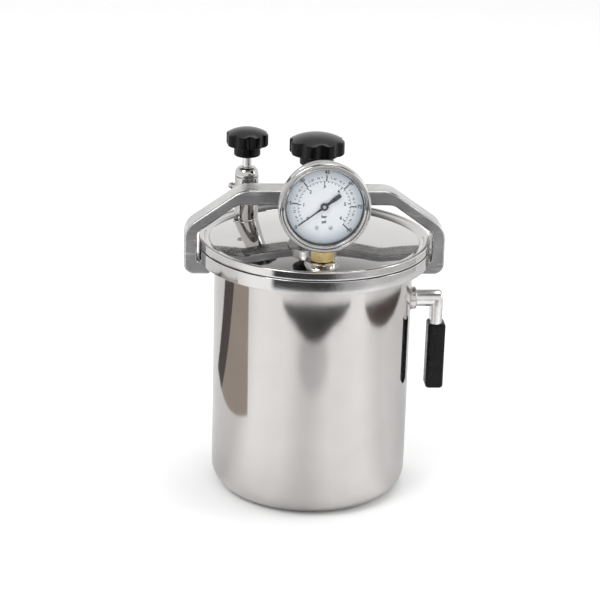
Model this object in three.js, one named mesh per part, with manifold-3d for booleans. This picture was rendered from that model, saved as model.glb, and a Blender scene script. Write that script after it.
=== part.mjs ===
// Small stainless steel resin pressure pot with a clamping yoke, a dial gauge and a release valve.
// Millimetres, +Z up. The origin is the centre of the pot's flat bottom, X runs along the yoke
// towards the handle, and the gauge faces -Y.
import * as THREE from 'three';
import { mergeVertices } from 'three/addons/utils/BufferGeometryUtils.js';
import Module from 'manifold-3d';

const wasm = await Module();
wasm.setup();

// ---------------------------------------------------------------- driving dimensions
const GAP = 0.3; // clearance kept between neighbouring pieces

const POT_R = 80;
const POT_WALL = 2;
const POT_CORNER_R = 17;
const FLANGE_R = 93;
const FLANGE_BOTTOM = 194.8;
const FLANGE_TOP = 206;
const FLANGE_CORNER_R = 3;
const GASKET_INNER_R = 82.6;
const GASKET_OUTER_R = 87.4;
const GASKET_BOTTOM = 203.6;

const LID_BOTTOM = FLANGE_TOP + 2 * GAP;
const LID_R = 92.8;
const LID_BEAD_R = 90.4;
const LID_BEAD_TOP = 213.5;
const LID_GROOVE_R = 86.8;
const LID_GROOVE_Z = 211;
const DOME_EDGE_R = 84;
const DOME_EDGE_Z = 210.9;
const DOME_TOP = 220.6;
const LID_SHEET = 2.4;
const LID_SEAT_R = 80.5;

const YOKE_DEPTH = 23;
const YOKE_TOP = 253.4;
const YOKE_THICK = 12;
const YOKE_FLAT_X = 60;
const YOKE_SHOULDER_X = 99.6;
const YOKE_SHOULDER_Z = 225.4;
const YOKE_UNDER_FLAT_X = 62; // end of the straight underside
const YOKE_UNDER_Z = 217.8; // where the underside meets the leg
const YOKE_LEG_OUTER = 104.6;
const YOKE_LEG_INNER = 94.4;
const YOKE_BOTTOM = 183.6;
const HOOK_INNER_X = 83.5;
const YOKE_BOSS_R = 23.5;
const YOKE_BOSS_BOTTOM = 238;

const SCREW_R = 7.6;
const BUSH_R = 11.5;
const THRUST_R = 15;
const THRUST_TOP = 233.5;
const THRUST_FLOOR = 224.4;
const FOOT_R = 10.6;
const FOOT_TOP = 228.4;
const NECK_R = 6.4;

const MAIN_SHANK_R = 4.6; // end of the clamp screw inside its knob

const MAIN_KNOB = {
  radius: 23, hubR: 13.6, boreR: 6.5, bottom: 272.7, discBottom: 281.5, discTop: 292, top: 297.6,
};
const VALVE_KNOB = {
  radius: 17.9, hubR: 10.8, boreR: 5.2, bottom: 269.2, discBottom: 277.8, discTop: 287.3, top: 292.1,
};
const KNOB_LOBES = 8;
const VALLEY_SHARE = 0.125; // depth of a valley between two lobes, as a share of the knob's radius
const KNOB_VALLEY = THREE.MathUtils.degToRad(-85); // direction of one valley between two lobes

const VALVE = {
  x: -53.4, y: 36, radius: 9.7, boreR: 6.2, portR: 3, spigotR: 7.7, spigotBottom: 206.5, seat: 231,
  bodyTop: 252, bonnetTop: 259.8, plugLength: 5,
};
const STEM_R = 3.7;
const STEM_TIP_R = 2.6; // turns in the disc's socket
const DISC_TOP = VALVE.seat + 6.6;
const DISC_SOCKET = 2.6; // depth of that socket
const NOZZLE = { z: 241.4, length: 6, radius: 2.9, boreR: 1.3 };
const NOZZLE_DIRECTION = 149; // degrees from +X

const GAUGE_Z = 262;
const BEZEL_FRONT = -86;
const BEZEL_DEPTH = 9;
const BEZEL_R = 35.3;
const BEZEL_WINDOW_R = 30;
const CASE_R = 31.6;
const CASE_BACK = -59;
const STEM_Y = -70; // axis of the gauge's bottom entry
const HEX_ACROSS_FLATS = 17.4;
const HEX_BOTTOM = 216.5;
const HEX_TOP = 226.2;
const GAUGE_BOSS_R = 12.8;
const GAUGE_PORT_R = 9.4; // hole in the lid
const BOSS_STEM_BOTTOM = 207; // end of the boss inside the pot
const BOSS_BORE_R = 3.4;
const NIPPLE_R = 3.1; // the adapter's threaded end, in the boss
const NIPPLE_BOTTOM = 208;
const ADAPTER_BORE_R = 1.8;
const SEAL = { inner: 3.8, outer: 7, depth: 1.4 }; // washer under the adapter
const SOCKET = { side: 13, top: 242, threadR: 4.3, threadLength: 7, boreR: 1.5 };

const CASE_WALL = 1.2;
const CASE_FRONT = BEZEL_FRONT + 6;
const LENS_FRONT = BEZEL_FRONT + 2.5;
const LENS_BACK = LENS_FRONT + 1.6;
const DIAL_FRONT = BEZEL_FRONT + 7;
const DIAL_BACK = DIAL_FRONT + 0.8;
const DIAL_R = CASE_R - CASE_WALL - GAP;
const DIAL_SCREW = { x: 5.3, z: -17, radius: 1.5, height: 0.6 }; // from the dial's centre
const POINTER_REST = 218; // direction of the pointer at zero, in degrees from +X, seen from the front
const POINTER_SWEEP = 262;
const POINTER_BACK = BEZEL_FRONT + 5.8;
const PLATE_BACK = CASE_BACK - 7.2;
const PLATE_FRONT = PLATE_BACK - 1.2;
const GEAR_BACK = PLATE_FRONT - 2.4;
const GEAR_FRONT = GEAR_BACK - 1.2;
const TUBE_R = 24.6; // of the Bourdon tube's curve
const ARBOR_R = 0.9;
const PIN_R = 1;

const HANDLE_Z = 159.8;
const HANDLE_BAR_R = 7;
const HANDLE_START_X = 74; // inside the wall, and trimmed to fit it
const HANDLE_END_X = 106.2;
const TANG_X = [97, 106.2];
const TANG_MIDDLE_X = (TANG_X[0] + TANG_X[1]) / 2;
const TANG_DEPTH = 15;
const COLLAR_R = 9.3;
const COLLAR_END_X = 84.6;
const GRIP = { x: [95, 109.6], depth: 18, bottom: 83, top: 139.4, corner: 3.2 };
const TANG_BOTTOM = GRIP.bottom + 9;
const GRIP_SCREW_R = 2.2;

const PINION_TEETH = 12;
const SECTOR_TEETH = 66; // teeth of the full circle that the sector is cut from
const GEAR_MODULE = 0.4;
const SECTOR_AXIS_Z = -((PINION_TEETH + SECTOR_TEETH) * GEAR_MODULE) / 2; // from the pointer's axis
const SECTOR_SWEEP = (POINTER_SWEEP * PINION_TEETH) / SECTOR_TEETH;

const CUTTER_BOTTOM = 190; // ends of the cutters that run right through the lid
const CUTTER_TOP = 230;
const TRIMMED_BOTTOM = 200; // pieces on the dome start here and are trimmed to stand on it

const LARGE = 56; // sides of the pot, flange and lid
const MEDIUM = 36;
const SMALL = 20;

// ---------------------------------------------------------------- materials
const steel = { color: 0xc9c4bf, roughness: 0.16, metalness: 1 };
const satinSteel = { color: 0xb9b6b2, roughness: 0.35, metalness: 1 };
const aluminium = { color: 0xa3a4a6, roughness: 0.42, metalness: 1 };
const brass = { color: 0xb08d4a, roughness: 0.3, metalness: 1 };
const blackPlastic = { color: 0x111113, roughness: 0.25, metalness: 0 };
const gripPlastic = { color: 0x1b1a1c, roughness: 0.5, metalness: 0 };
const rubber = { color: 0x3a3a3c, roughness: 0.8, metalness: 0 };
const silicone = { color: 0xd8d8d4, roughness: 0.6, metalness: 0 };
const glass = { color: 0xe8f1f4, roughness: 0.05, metalness: 0 };
const dialWhite = { color: 0xe3e9ec, roughness: 0.5, metalness: 0 };
const pointerBlack = { color: 0x0c0c0d, roughness: 0.4, metalness: 0 };

const pot = new THREE.Group();

// Adds one named piece to the model.
function piece(name, solid, finish) {
  const mesh = new THREE.Mesh(toGeometry(solid), new THREE.MeshStandardMaterial(finish));
  mesh.name = name;
  pot.add(mesh);
}

// ---------------------------------------------------------------- solids
// Turns a closed geometry into a solid whose faces point outwards.
function toSolid(geometry) {
  const bare = geometry.clone();
  bare.deleteAttribute('normal');
  bare.deleteAttribute('uv');
  const merged = mergeVertices(bare, 1e-3);
  const position = merged.attributes.position;
  const corners = [];
  let volume = 0;
  const [a, b, c] = [new THREE.Vector3(), new THREE.Vector3(), new THREE.Vector3()];
  for (let i = 0; i < merged.index.count; i += 3) {
    const tri = [0, 1, 2].map((k) => merged.index.getX(i + k));
    if (tri[0] === tri[1] || tri[1] === tri[2] || tri[2] === tri[0]) continue;
    a.fromBufferAttribute(position, tri[0]);
    b.fromBufferAttribute(position, tri[1]);
    c.fromBufferAttribute(position, tri[2]);
    volume += a.dot(b.cross(c));
    corners.push(...tri);
  }
  if (volume < 0) corners.reverse();
  return new wasm.Manifold(new wasm.Mesh({
    numProp: 3,
    vertProperties: new Float32Array(position.array),
    triVerts: new Uint32Array(corners),
  }));
}

function toGeometry(solid) {
  const mesh = solid.getMesh();
  const geometry = new THREE.BufferGeometry();
  geometry.setAttribute('position', new THREE.BufferAttribute(mesh.vertProperties, 3));
  geometry.setIndex(new THREE.BufferAttribute(mesh.triVerts, 1));
  geometry.computeVertexNormals();
  return geometry;
}

// Revolves an outline of [radius, height] points about +Z.
function turned(outline, sides = MEDIUM) {
  const points = outline.map(([radius, height]) => new THREE.Vector2(radius, height));
  const closed = points[0].x > 0 || points[points.length - 1].x > 0;
  if (closed) points.push(points[0].clone());
  return toSolid(new THREE.LatheGeometry(points, sides).rotateX(Math.PI / 2));
}

// A turned piece whose axis is the gauge's: heights run from the back (+) to the front (-) along Y.
function turnedOnGauge(outline, sides = MEDIUM) {
  const upright = turned(outline.map(([radius, y]) => [radius, -y]), sides);
  return upright.rotate([90, 0, 0]).translate([0, 0, GAUGE_Z]);
}

function disc(radius, low, high, sides = MEDIUM) {
  return turned([[0, low], [radius, low], [radius, high], [0, high]], sides);
}

function ring(inner, outer, low, high, sides = MEDIUM) {
  return turned([[inner, low], [outer, low], [outer, high], [inner, high]], sides);
}

function gaugeDisc(radius, back, front, sides = MEDIUM) {
  return turnedOnGauge([[0, back], [radius, back], [radius, front], [0, front]], sides);
}

// Extrudes an outline along +Z from 'low' to 'high'.
function prism(shape, low, high, bevel = 0, curveSegments = 8) {
  const geometry = new THREE.ExtrudeGeometry(shape, {
    depth: high - low - 2 * bevel,
    bevelEnabled: bevel > 0,
    bevelThickness: bevel,
    bevelSize: bevel,
    bevelOffset: -bevel,
    bevelSegments: 2,
    curveSegments,
  });
  return toSolid(geometry.translate(0, 0, low + bevel));
}

function box(width, depth, height, x, y, z) {
  return toSolid(new THREE.BoxGeometry(width, depth, height).translate(x, y, z));
}

// Points of an arc between two angles in degrees, as [x, y] pairs.
function arc(x, y, radius, from, to, steps) {
  return Array.from({ length: steps + 1 }, (_, i) => {
    const angle = THREE.MathUtils.degToRad(from + ((to - from) * i) / steps);
    return [x + radius * Math.cos(angle), y + radius * Math.sin(angle)];
  });
}

function shapeOf(points) {
  return new THREE.Shape(points.map(([x, y]) => new THREE.Vector2(x, y)));
}

// A closed polygon whose corners are rounded, each corner given as [x, y, radius].
function roundedShape(corners, steps = 4) {
  const points = [];
  corners.forEach(([x, y, radius], i) => {
    const here = new THREE.Vector2(x, y);
    const [px, py] = corners[(i + corners.length - 1) % corners.length];
    const [nx, ny] = corners[(i + 1) % corners.length];
    const back = new THREE.Vector2(px, py).sub(here).normalize();
    const ahead = new THREE.Vector2(nx, ny).sub(here).normalize();
    const half = Math.acos(THREE.MathUtils.clamp(back.dot(ahead), -1, 1)) / 2;
    const cut = radius / Math.tan(half);
    const start = here.clone().addScaledVector(back, cut);
    const end = here.clone().addScaledVector(ahead, cut);
    const bend = new THREE.QuadraticBezierCurve(start, here, end);
    points.push(...(radius > 0 ? bend.getPoints(steps) : [here]));
  });
  return new THREE.Shape(points);
}

// ---------------------------------------------------------------- pot
const domeRadius = (DOME_EDGE_R ** 2 + (DOME_TOP - DOME_EDGE_Z) ** 2) / (2 * (DOME_TOP - DOME_EDGE_Z));
const domeZ = (r) => DOME_TOP - domeRadius + Math.sqrt(domeRadius ** 2 - r ** 2);

// Points along the dome from its edge to its middle, lowered by 'drop'.
function domeOutline(steps, drop = 0, edge = DOME_EDGE_R) {
  return Array.from({ length: steps + 1 }, (_, i) => {
    const radius = edge * (1 - i / steps);
    return [radius, domeZ(radius) - drop];
  });
}

function potShell() {
  const innerR = POT_R - POT_WALL;
  const innerCorner = POT_CORNER_R - POT_WALL;
  return turned([
    [0, 0],
    ...arc(POT_R - POT_CORNER_R, POT_CORNER_R, POT_CORNER_R, -90, 0, 5),
    [POT_R, FLANGE_TOP],
    [innerR, FLANGE_TOP],
    ...arc(innerR - innerCorner, POT_CORNER_R, innerCorner, 0, -90, 4),
    [0, POT_WALL],
  ], LARGE);
}

function flangeRing() {
  const inner = POT_R + GAP;
  return turned([
    [inner, FLANGE_BOTTOM],
    ...arc(FLANGE_R - FLANGE_CORNER_R, FLANGE_BOTTOM + FLANGE_CORNER_R, FLANGE_CORNER_R, -90, 0, 3),
    [FLANGE_R, FLANGE_TOP - 0.6],
    [FLANGE_R - 0.6, FLANGE_TOP],
    [GASKET_OUTER_R + GAP, FLANGE_TOP],
    [GASKET_OUTER_R + GAP, GASKET_BOTTOM - GAP],
    [GASKET_INNER_R - GAP, GASKET_BOTTOM - GAP],
    [GASKET_INNER_R - GAP, FLANGE_TOP],
    [inner, FLANGE_TOP],
  ], LARGE);
}

piece('pot_shell', potShell(), steel);
piece('flange_ring', flangeRing(), steel);
piece('rim_gasket', ring(GASKET_INNER_R, GASKET_OUTER_R, GASKET_BOTTOM, LID_BOTTOM - GAP, LARGE), silicone);

// ---------------------------------------------------------------- handle
// A stub turned about an axis along +X at the handle's height.
function turnedOnHandle(outline) {
  return turned(outline, SMALL).rotate([0, 90, 0]).translate([0, 0, HANDLE_Z]);
}

const wallCutter = disc(POT_R + GAP, 0, FLANGE_BOTTOM, LARGE);

function handleArm() {
  const bar = turnedOnHandle([
    [0, HANDLE_START_X],
    [HANDLE_BAR_R, HANDLE_START_X],
    [HANDLE_BAR_R, HANDLE_END_X - 2.4],
    [HANDLE_BAR_R - 0.7, HANDLE_END_X - 0.7],
    [HANDLE_BAR_R - 2.4, HANDLE_END_X],
    [0, HANDLE_END_X],
  ]);
  const thick = TANG_X[1] - TANG_X[0];
  const length = HANDLE_Z - TANG_BOTTOM;
  const flat = box(thick, TANG_DEPTH, length, TANG_MIDDLE_X, 0, TANG_BOTTOM + length / 2);
  const round = disc(HANDLE_BAR_R * 1.12, TANG_BOTTOM, HANDLE_Z, SMALL).translate([TANG_MIDDLE_X, 0, 0]);
  return bar.add(flat.intersect(round)).subtract(wallCutter);
}

function handleCollar() {
  const clear = HANDLE_BAR_R + GAP;
  const collar = turnedOnHandle([
    [clear, HANDLE_START_X],
    [COLLAR_R, HANDLE_START_X],
    [COLLAR_R, COLLAR_END_X - 1.2],
    [COLLAR_R - 1, COLLAR_END_X],
    [clear, COLLAR_END_X],
  ]);
  return collar.subtract(wallCutter);
}

function handleGrip() {
  const [near, far] = GRIP.x;
  const middle = (near + far) / 2;
  const halfX = (far - near) / 2;
  const halfY = GRIP.depth / 2;
  const outline = roundedShape([
    [-halfX, -halfY, GRIP.corner], [halfX, -halfY, GRIP.corner],
    [halfX, halfY, GRIP.corner], [-halfX, halfY, GRIP.corner],
  ], 3);
  const grip = prism(outline, GRIP.bottom, GRIP.top, 2.2).translate([middle, 0, 0]);
  const thick = TANG_X[1] - TANG_X[0] + 2 * GAP;
  const length = GRIP.top - GRIP.bottom;
  const slotMiddle = TANG_BOTTOM - GAP + length / 2;
  const slot = box(thick, TANG_DEPTH + 2 * GAP, length, TANG_MIDDLE_X, 0, slotMiddle);
  const screwHole = disc(GRIP_SCREW_R + 0.4, GRIP.bottom - 1, TANG_BOTTOM, SMALL);
  return grip.subtract(slot).subtract(screwHole.translate([TANG_MIDDLE_X, 0, 0]));
}

// The screw that holds the grip on the tang: its head sits in the grip's lower end.
function gripScrew() {
  const tip = TANG_BOTTOM - GAP;
  const screw = turned([
    [0, GRIP.bottom + 0.6],
    [GRIP_SCREW_R, GRIP.bottom + 0.8],
    [GRIP_SCREW_R, tip - 0.5],
    [GRIP_SCREW_R - 0.5, tip],
    [0, tip],
  ], SMALL);
  return screw.translate([TANG_MIDDLE_X, 0, 0]);
}

piece('handle_arm', handleArm(), satinSteel);
piece('handle_collar', handleCollar(), steel);
piece('handle_grip', handleGrip(), gripPlastic);
piece('grip_screw', gripScrew(), satinSteel);

// ---------------------------------------------------------------- yoke
function yokeBar() {
  const slope = Math.atan2(YOKE_TOP - YOKE_SHOULDER_Z, YOKE_SHOULDER_X - YOKE_FLAT_X);
  const legCornerZ = YOKE_SHOULDER_Z - (YOKE_LEG_OUTER - YOKE_SHOULDER_X) * Math.tan(slope);
  const hookTop = FLANGE_BOTTOM - GAP;
  const right = [
    [YOKE_UNDER_FLAT_X, YOKE_TOP - YOKE_THICK, 14], [YOKE_LEG_INNER, YOKE_UNDER_Z, 2],
    [YOKE_LEG_INNER, hookTop, 1.5], [HOOK_INNER_X, hookTop, 2.2], [HOOK_INNER_X, YOKE_BOTTOM, 2.4],
    [YOKE_LEG_OUTER, YOKE_BOTTOM, 8], [YOKE_LEG_OUTER, legCornerZ, 17], [YOKE_FLAT_X, YOKE_TOP, 22],
  ];
  const left = right.map(([x, z, radius]) => [-x, z, radius]).reverse();
  const outline = roundedShape([...right, ...left], 4);
  const bar = prism(outline, -YOKE_DEPTH / 2, YOKE_DEPTH / 2, 1.1).rotate([90, 0, 0]);
  const chamfer = 1.2;
  const boss = turned([
    [0, YOKE_BOSS_BOTTOM],
    [YOKE_BOSS_R - chamfer, YOKE_BOSS_BOTTOM],
    [YOKE_BOSS_R, YOKE_BOSS_BOTTOM + chamfer],
    [YOKE_BOSS_R, YOKE_TOP - chamfer],
    [YOKE_BOSS_R - chamfer, YOKE_TOP],
    [0, YOKE_TOP],
  ]);
  return bar.add(boss).subtract(disc(BUSH_R + GAP, YOKE_BOSS_BOTTOM - 1, YOKE_TOP + 1, SMALL));
}

// Steel bush in the boss that carries the clamp screw's thread.
function yokeBush() {
  const top = YOKE_TOP + 1.6;
  return turned([
    [SCREW_R + GAP, YOKE_BOSS_BOTTOM],
    [BUSH_R, YOKE_BOSS_BOTTOM],
    [BUSH_R, top - 0.8],
    [BUSH_R - 0.8, top],
    [SCREW_R + GAP, top],
  ], SMALL);
}

piece('yoke_bar', yokeBar(), aluminium);
piece('yoke_bush', yokeBush(), satinSteel);

// ---------------------------------------------------------------- lid
// Everything up to GAP above the dome.
const domeCutter = turned([
  [DOME_EDGE_R, CUTTER_BOTTOM],
  [0, CUTTER_BOTTOM],
  ...domeOutline(5, -GAP).reverse(),
], LARGE);

function lidShell() {
  const beadHalf = LID_R - LID_BEAD_R;
  const shell = turned([
    ...domeOutline(5).reverse(),
    [DOME_EDGE_R + 0.7, DOME_EDGE_Z - 0.9],
    [LID_GROOVE_R, LID_GROOVE_Z],
    ...arc(LID_BEAD_R, LID_BEAD_TOP - beadHalf, beadHalf, 135, 0, 3),
    [LID_R, LID_BOTTOM + 0.6],
    [LID_R - 0.6, LID_BOTTOM],
    [LID_SEAT_R, LID_BOTTOM],
    ...domeOutline(4, LID_SHEET, LID_SEAT_R - 1.5),
  ], LARGE);
  const gaugeHole = disc(GAUGE_PORT_R, CUTTER_BOTTOM, CUTTER_TOP, SMALL).translate([0, STEM_Y, 0]);
  const valveHole = disc(VALVE.spigotR + GAP, CUTTER_BOTTOM, CUTTER_TOP, SMALL);
  return shell.subtract(gaugeHole).subtract(valveHole.translate([VALVE.x, VALVE.y, 0]));
}

// Welded cup that the clamp screw's foot turns in.
function thrustCup() {
  const cup = turned([
    [0, TRIMMED_BOTTOM],
    [THRUST_R, TRIMMED_BOTTOM],
    [THRUST_R, THRUST_TOP - 1],
    [THRUST_R - 1, THRUST_TOP],
    [FOOT_R + GAP, THRUST_TOP],
    [FOOT_R + GAP, THRUST_FLOOR],
    [0, THRUST_FLOOR],
  ], SMALL);
  return cup.subtract(domeCutter);
}

// Stub that the gauge's adapter screws into, welded through the lid.
function gaugeBoss() {
  const top = HEX_BOTTOM - GAP;
  const skirt = disc(GAUGE_BOSS_R, TRIMMED_BOTTOM, top).subtract(domeCutter.translate([0, -STEM_Y, 0]));
  const stem = disc(GAUGE_PORT_R - GAP, BOSS_STEM_BOTTOM, top, SMALL);
  const bore = disc(BOSS_BORE_R, CUTTER_BOTTOM, CUTTER_TOP, SMALL);
  const sealSeat = disc(SEAL.outer + GAP, top - SEAL.depth, CUTTER_TOP, SMALL);
  return skirt.add(stem).subtract(bore).subtract(sealSeat).translate([0, STEM_Y, 0]);
}

function hexagon(acrossFlats) {
  const corner = acrossFlats / Math.sqrt(3);
  return shapeOf(arc(0, 0, corner, -90, 210, 5));
}

function gaugeAdapter() {
  const chamferR = HEX_ACROSS_FLATS / 2 + 0.2;
  const chamfers = turned([
    [0, HEX_BOTTOM],
    [chamferR - 0.4, HEX_BOTTOM],
    [chamferR + 1.8, HEX_BOTTOM + 1.6],
    [chamferR + 1.8, HEX_TOP - 1.2],
    [chamferR, HEX_TOP],
    [0, HEX_TOP],
  ]);
  const hex = prism(hexagon(HEX_ACROSS_FLATS), HEX_BOTTOM, HEX_TOP).intersect(chamfers);
  const nipple = disc(NIPPLE_R, NIPPLE_BOTTOM, HEX_BOTTOM + 1, SMALL);
  const bore = disc(ADAPTER_BORE_R, CUTTER_BOTTOM, HEX_TOP - 1, SMALL);
  const threadBottom = HEX_TOP - SOCKET.threadLength - 0.4;
  const threadHole = disc(SOCKET.threadR + GAP, threadBottom, HEX_TOP + 1, SMALL);
  return hex.add(nipple).subtract(bore).subtract(threadHole).translate([0, STEM_Y, 0]);
}

// Washer between the boss and the adapter.
function adapterSeal() {
  const washer = ring(SEAL.inner, SEAL.outer, HEX_BOTTOM - SEAL.depth, HEX_BOTTOM - GAP, SMALL);
  return washer.translate([0, STEM_Y, 0]);
}

piece('lid_shell', lidShell(), steel);
piece('thrust_cup', thrustCup(), satinSteel);
piece('foot_retainer', ring(NECK_R + GAP, FOOT_R, FOOT_TOP + GAP, THRUST_TOP - 0.6, SMALL), satinSteel);
piece('gauge_boss', gaugeBoss(), steel);
piece('adapter_seal', adapterSeal(), silicone);
piece('gauge_adapter', gaugeAdapter(), brass);

// ---------------------------------------------------------------- gauge
function gaugeSocket() {
  const { side, top } = SOCKET;
  const bottom = HEX_TOP + GAP;
  const square = box(side, side, top - bottom, 0, 0, (top + bottom) / 2);
  const thread = disc(SOCKET.threadR, HEX_TOP - SOCKET.threadLength, HEX_TOP + 2, SMALL);
  const bore = disc(SOCKET.boreR, CUTTER_BOTTOM, top - 2, SMALL);
  return square.add(thread).subtract(bore).translate([0, STEM_Y, 0]);
}

function gaugeCase() {
  const innerR = CASE_R - CASE_WALL;
  const cup = turnedOnGauge([
    [0, CASE_BACK],
    [CASE_R - 2.5, CASE_BACK],
    [CASE_R - 0.7, CASE_BACK - 0.8],
    [CASE_R, CASE_BACK - 2.6],
    [CASE_R, CASE_FRONT],
    [innerR, CASE_FRONT],
    [innerR, CASE_BACK - CASE_WALL - 1],
    [0, CASE_BACK - CASE_WALL],
  ]);
  const opening = SOCKET.side + 2 * GAP;
  return cup.subtract(box(opening, opening, 20, 0, STEM_Y, GAUGE_Z - CASE_R));
}

function gaugeBezel() {
  const back = BEZEL_FRONT + BEZEL_DEPTH;
  const lip = LENS_FRONT - GAP;
  return turnedOnGauge([
    [CASE_R + GAP, back],
    [BEZEL_R - 0.8, back],
    [BEZEL_R, back - 0.8],
    [BEZEL_R, BEZEL_FRONT + 2.6],
    [BEZEL_R - 1, BEZEL_FRONT + 0.7],
    [BEZEL_R - 2.6, BEZEL_FRONT],
    [BEZEL_WINDOW_R + 0.8, BEZEL_FRONT + 0.9],
    [BEZEL_WINDOW_R, lip],
    [CASE_R + GAP, lip],
  ]);
}

// Rubber ring between the lens and the case.
function lensGasket() {
  const inner = BEZEL_WINDOW_R + 0.6;
  const [back, front] = [CASE_FRONT - GAP, LENS_BACK + GAP];
  return turnedOnGauge([[inner, back], [CASE_R, back], [CASE_R, front], [inner, front]]);
}

function gaugeDial() {
  const plate = gaugeDisc(DIAL_R, DIAL_BACK, DIAL_FRONT);
  return plate.subtract(gaugeDisc(1.6, DIAL_BACK + 1, DIAL_FRONT - 1, SMALL));
}

function dialScrew(x) {
  const back = DIAL_FRONT - GAP;
  const head = gaugeDisc(DIAL_SCREW.radius, back, back - DIAL_SCREW.height, SMALL);
  return head.translate([x, 0, DIAL_SCREW.z]);
}

// Outline of a gear, or of part of one, with narrow teeth that clear each other at every phase.
function gearOutline(teeth, first, last) {
  const pitchR = (teeth * GEAR_MODULE) / 2;
  const root = pitchR - 1.3 * GEAR_MODULE;
  const tip = pitchR + 0.8 * GEAR_MODULE;
  const step = 360 / teeth;
  const points = [];
  for (let tooth = first; tooth <= last; tooth += 1) {
    const middle = tooth * step;
    [[-0.26, root], [-0.1, tip], [0.1, tip], [0.26, root]].forEach(([offset, radius]) => {
      const angle = THREE.MathUtils.degToRad(middle + offset * step);
      points.push([radius * Math.cos(angle), radius * Math.sin(angle)]);
    });
  }
  return points;
}

// Stands a flat outline in the gauge's plane (x to the right, y up) between two depths along Y.
function plateOnGauge(shape, back, front) {
  return prism(shape, -back, -front).rotate([90, 0, 0]).translate([0, 0, GAUGE_Z]);
}

function sectorGear() {
  // At rest one of the sector's end teeth stands straight up at the pinion, and the rest lie to its right.
  const count = Math.ceil((SECTOR_SWEEP / 360) * SECTOR_TEETH) + 2;
  const teeth = gearOutline(SECTOR_TEETH, -count, 2).map(([x, y]) => [-y, x]);
  const body = shapeOf([...teeth, [-2.6, 0.6], [-2.2, -2.2], [0, -3], [2.2, -2.2], [2.4, 0.4]]);
  const plate = plateOnGauge(body, GEAR_BACK, GEAR_FRONT);
  const hole = gaugeDisc(PIN_R + GAP, GEAR_BACK + 1, GEAR_FRONT - 1, 16);
  return plate.subtract(hole).translate([0, 0, SECTOR_AXIS_Z]);
}

function pinionArbor() {
  // A gap between two teeth faces the sector's upright tooth.
  const half = 180 / PINION_TEETH;
  const outline = gearOutline(PINION_TEETH, 0, PINION_TEETH - 1);
  const pinion = plateOnGauge(shapeOf(outline), GEAR_BACK + 0.6, GEAR_FRONT - 0.6);
  const arbor = gaugeDisc(ARBOR_R, PLATE_BACK, POINTER_BACK + 0.3, 16);
  return turnedAboutArbor(pinion, 270 + half).add(arbor);
}

// Turns a piece about the pointer's axis, anticlockwise as seen from the front.
function turnedAboutArbor(solid, degrees) {
  return solid.translate([0, 0, -GAUGE_Z]).rotate([0, -degrees, 0]).translate([0, 0, GAUGE_Z]);
}

function gaugePointer() {
  const blade = shapeOf([
    [24.6, 0.3], [24.6, -0.3], [3, -0.8], [-8, -1.25], [-15.5, -1.35],
    [-15.5, 1.35], [-8, 1.25], [3, 0.8],
  ]);
  const flat = plateOnGauge(blade, POINTER_BACK, POINTER_BACK - 0.6);
  const hub = gaugeDisc(3, POINTER_BACK + 0.6, POINTER_BACK - 1, 24);
  const bore = gaugeDisc(ARBOR_R + GAP, POINTER_BACK + 1.4, POINTER_BACK - 0.15, 16);
  return turnedAboutArbor(flat.add(hub).subtract(bore), POINTER_REST);
}

// Axle of the sector, fixed in the back plate.
function sectorPin() {
  return gaugeDisc(PIN_R, PLATE_BACK, GEAR_FRONT - 0.8, 16).translate([0, 0, SECTOR_AXIS_Z]);
}

// Back plate with pillars that carries the arbor and the sector's pin.
function movementPlate() {
  const outline = roundedShape([[-9, -19, 2], [9, -19, 2], [9, 7, 3], [-9, 7, 3]], 3);
  const plate = plateOnGauge(outline, PLATE_BACK, PLATE_FRONT);
  const arborHole = gaugeDisc(ARBOR_R + GAP, PLATE_BACK + 1, PLATE_FRONT - 1, 16);
  const pinHole = gaugeDisc(PIN_R + GAP, PLATE_BACK + 1, PLATE_FRONT - 1, 16);
  const pillar = gaugeDisc(1.4, PLATE_BACK - 0.5, PLATE_BACK - 7, 14);
  const places = [[-7, -17], [7, -17], [-7, 4.6], [7, 4.6]];
  const built = places.reduce((sum, [x, z]) => sum.add(pillar.translate([x, 0, z])), plate);
  return built.subtract(arborHole).subtract(pinHole.translate([0, 0, SECTOR_AXIS_Z]));
}

function bourdonTube() {
  const points = arc(0, GAUGE_Z, TUBE_R, -64, 190, 26).map(([x, z]) => new THREE.Vector3(x, 0, z));
  const section = roundedShape([[-4, -1.1, 1], [4, -1.1, 1], [4, 1.1, 1], [-4, 1.1, 1]], 1);
  const route = new THREE.CatmullRomCurve3(points);
  const options = { extrudePath: route, steps: 26, bevelEnabled: false };
  return toSolid(new THREE.ExtrudeGeometry(section, options)).translate([0, PLATE_BACK - 4, 0]);
}

piece('gauge_socket', gaugeSocket(), brass);
piece('gauge_case', gaugeCase(), satinSteel);
piece('gauge_bezel', gaugeBezel(), steel);
piece('lens_gasket', lensGasket(), rubber);
piece('gauge_lens', gaugeDisc(CASE_R, LENS_BACK, LENS_FRONT), glass);
piece('gauge_dial', gaugeDial(), dialWhite);
piece('dial_screw_left', dialScrew(-DIAL_SCREW.x), satinSteel);
piece('dial_screw_right', dialScrew(DIAL_SCREW.x), satinSteel);
piece('movement_plate', movementPlate(), brass);
piece('bourdon_tube', bourdonTube(), brass);
piece('sector_gear', sectorGear(), brass);
piece('sector_pin', sectorPin(), satinSteel);
piece('pointer_arbor', pinionArbor(), brass);
piece('gauge_pointer', gaugePointer(), pointerBlack);

// ---------------------------------------------------------------- release valve
const atValve = (solid) => solid.translate([VALVE.x, VALVE.y, 0]);

// Lays an upright piece along the nozzle's direction.
function alongNozzle(solid) {
  return solid.rotate([0, 90, 0]).rotate([0, 0, NOZZLE_DIRECTION]).translate([0, 0, NOZZLE.z]);
}

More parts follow.
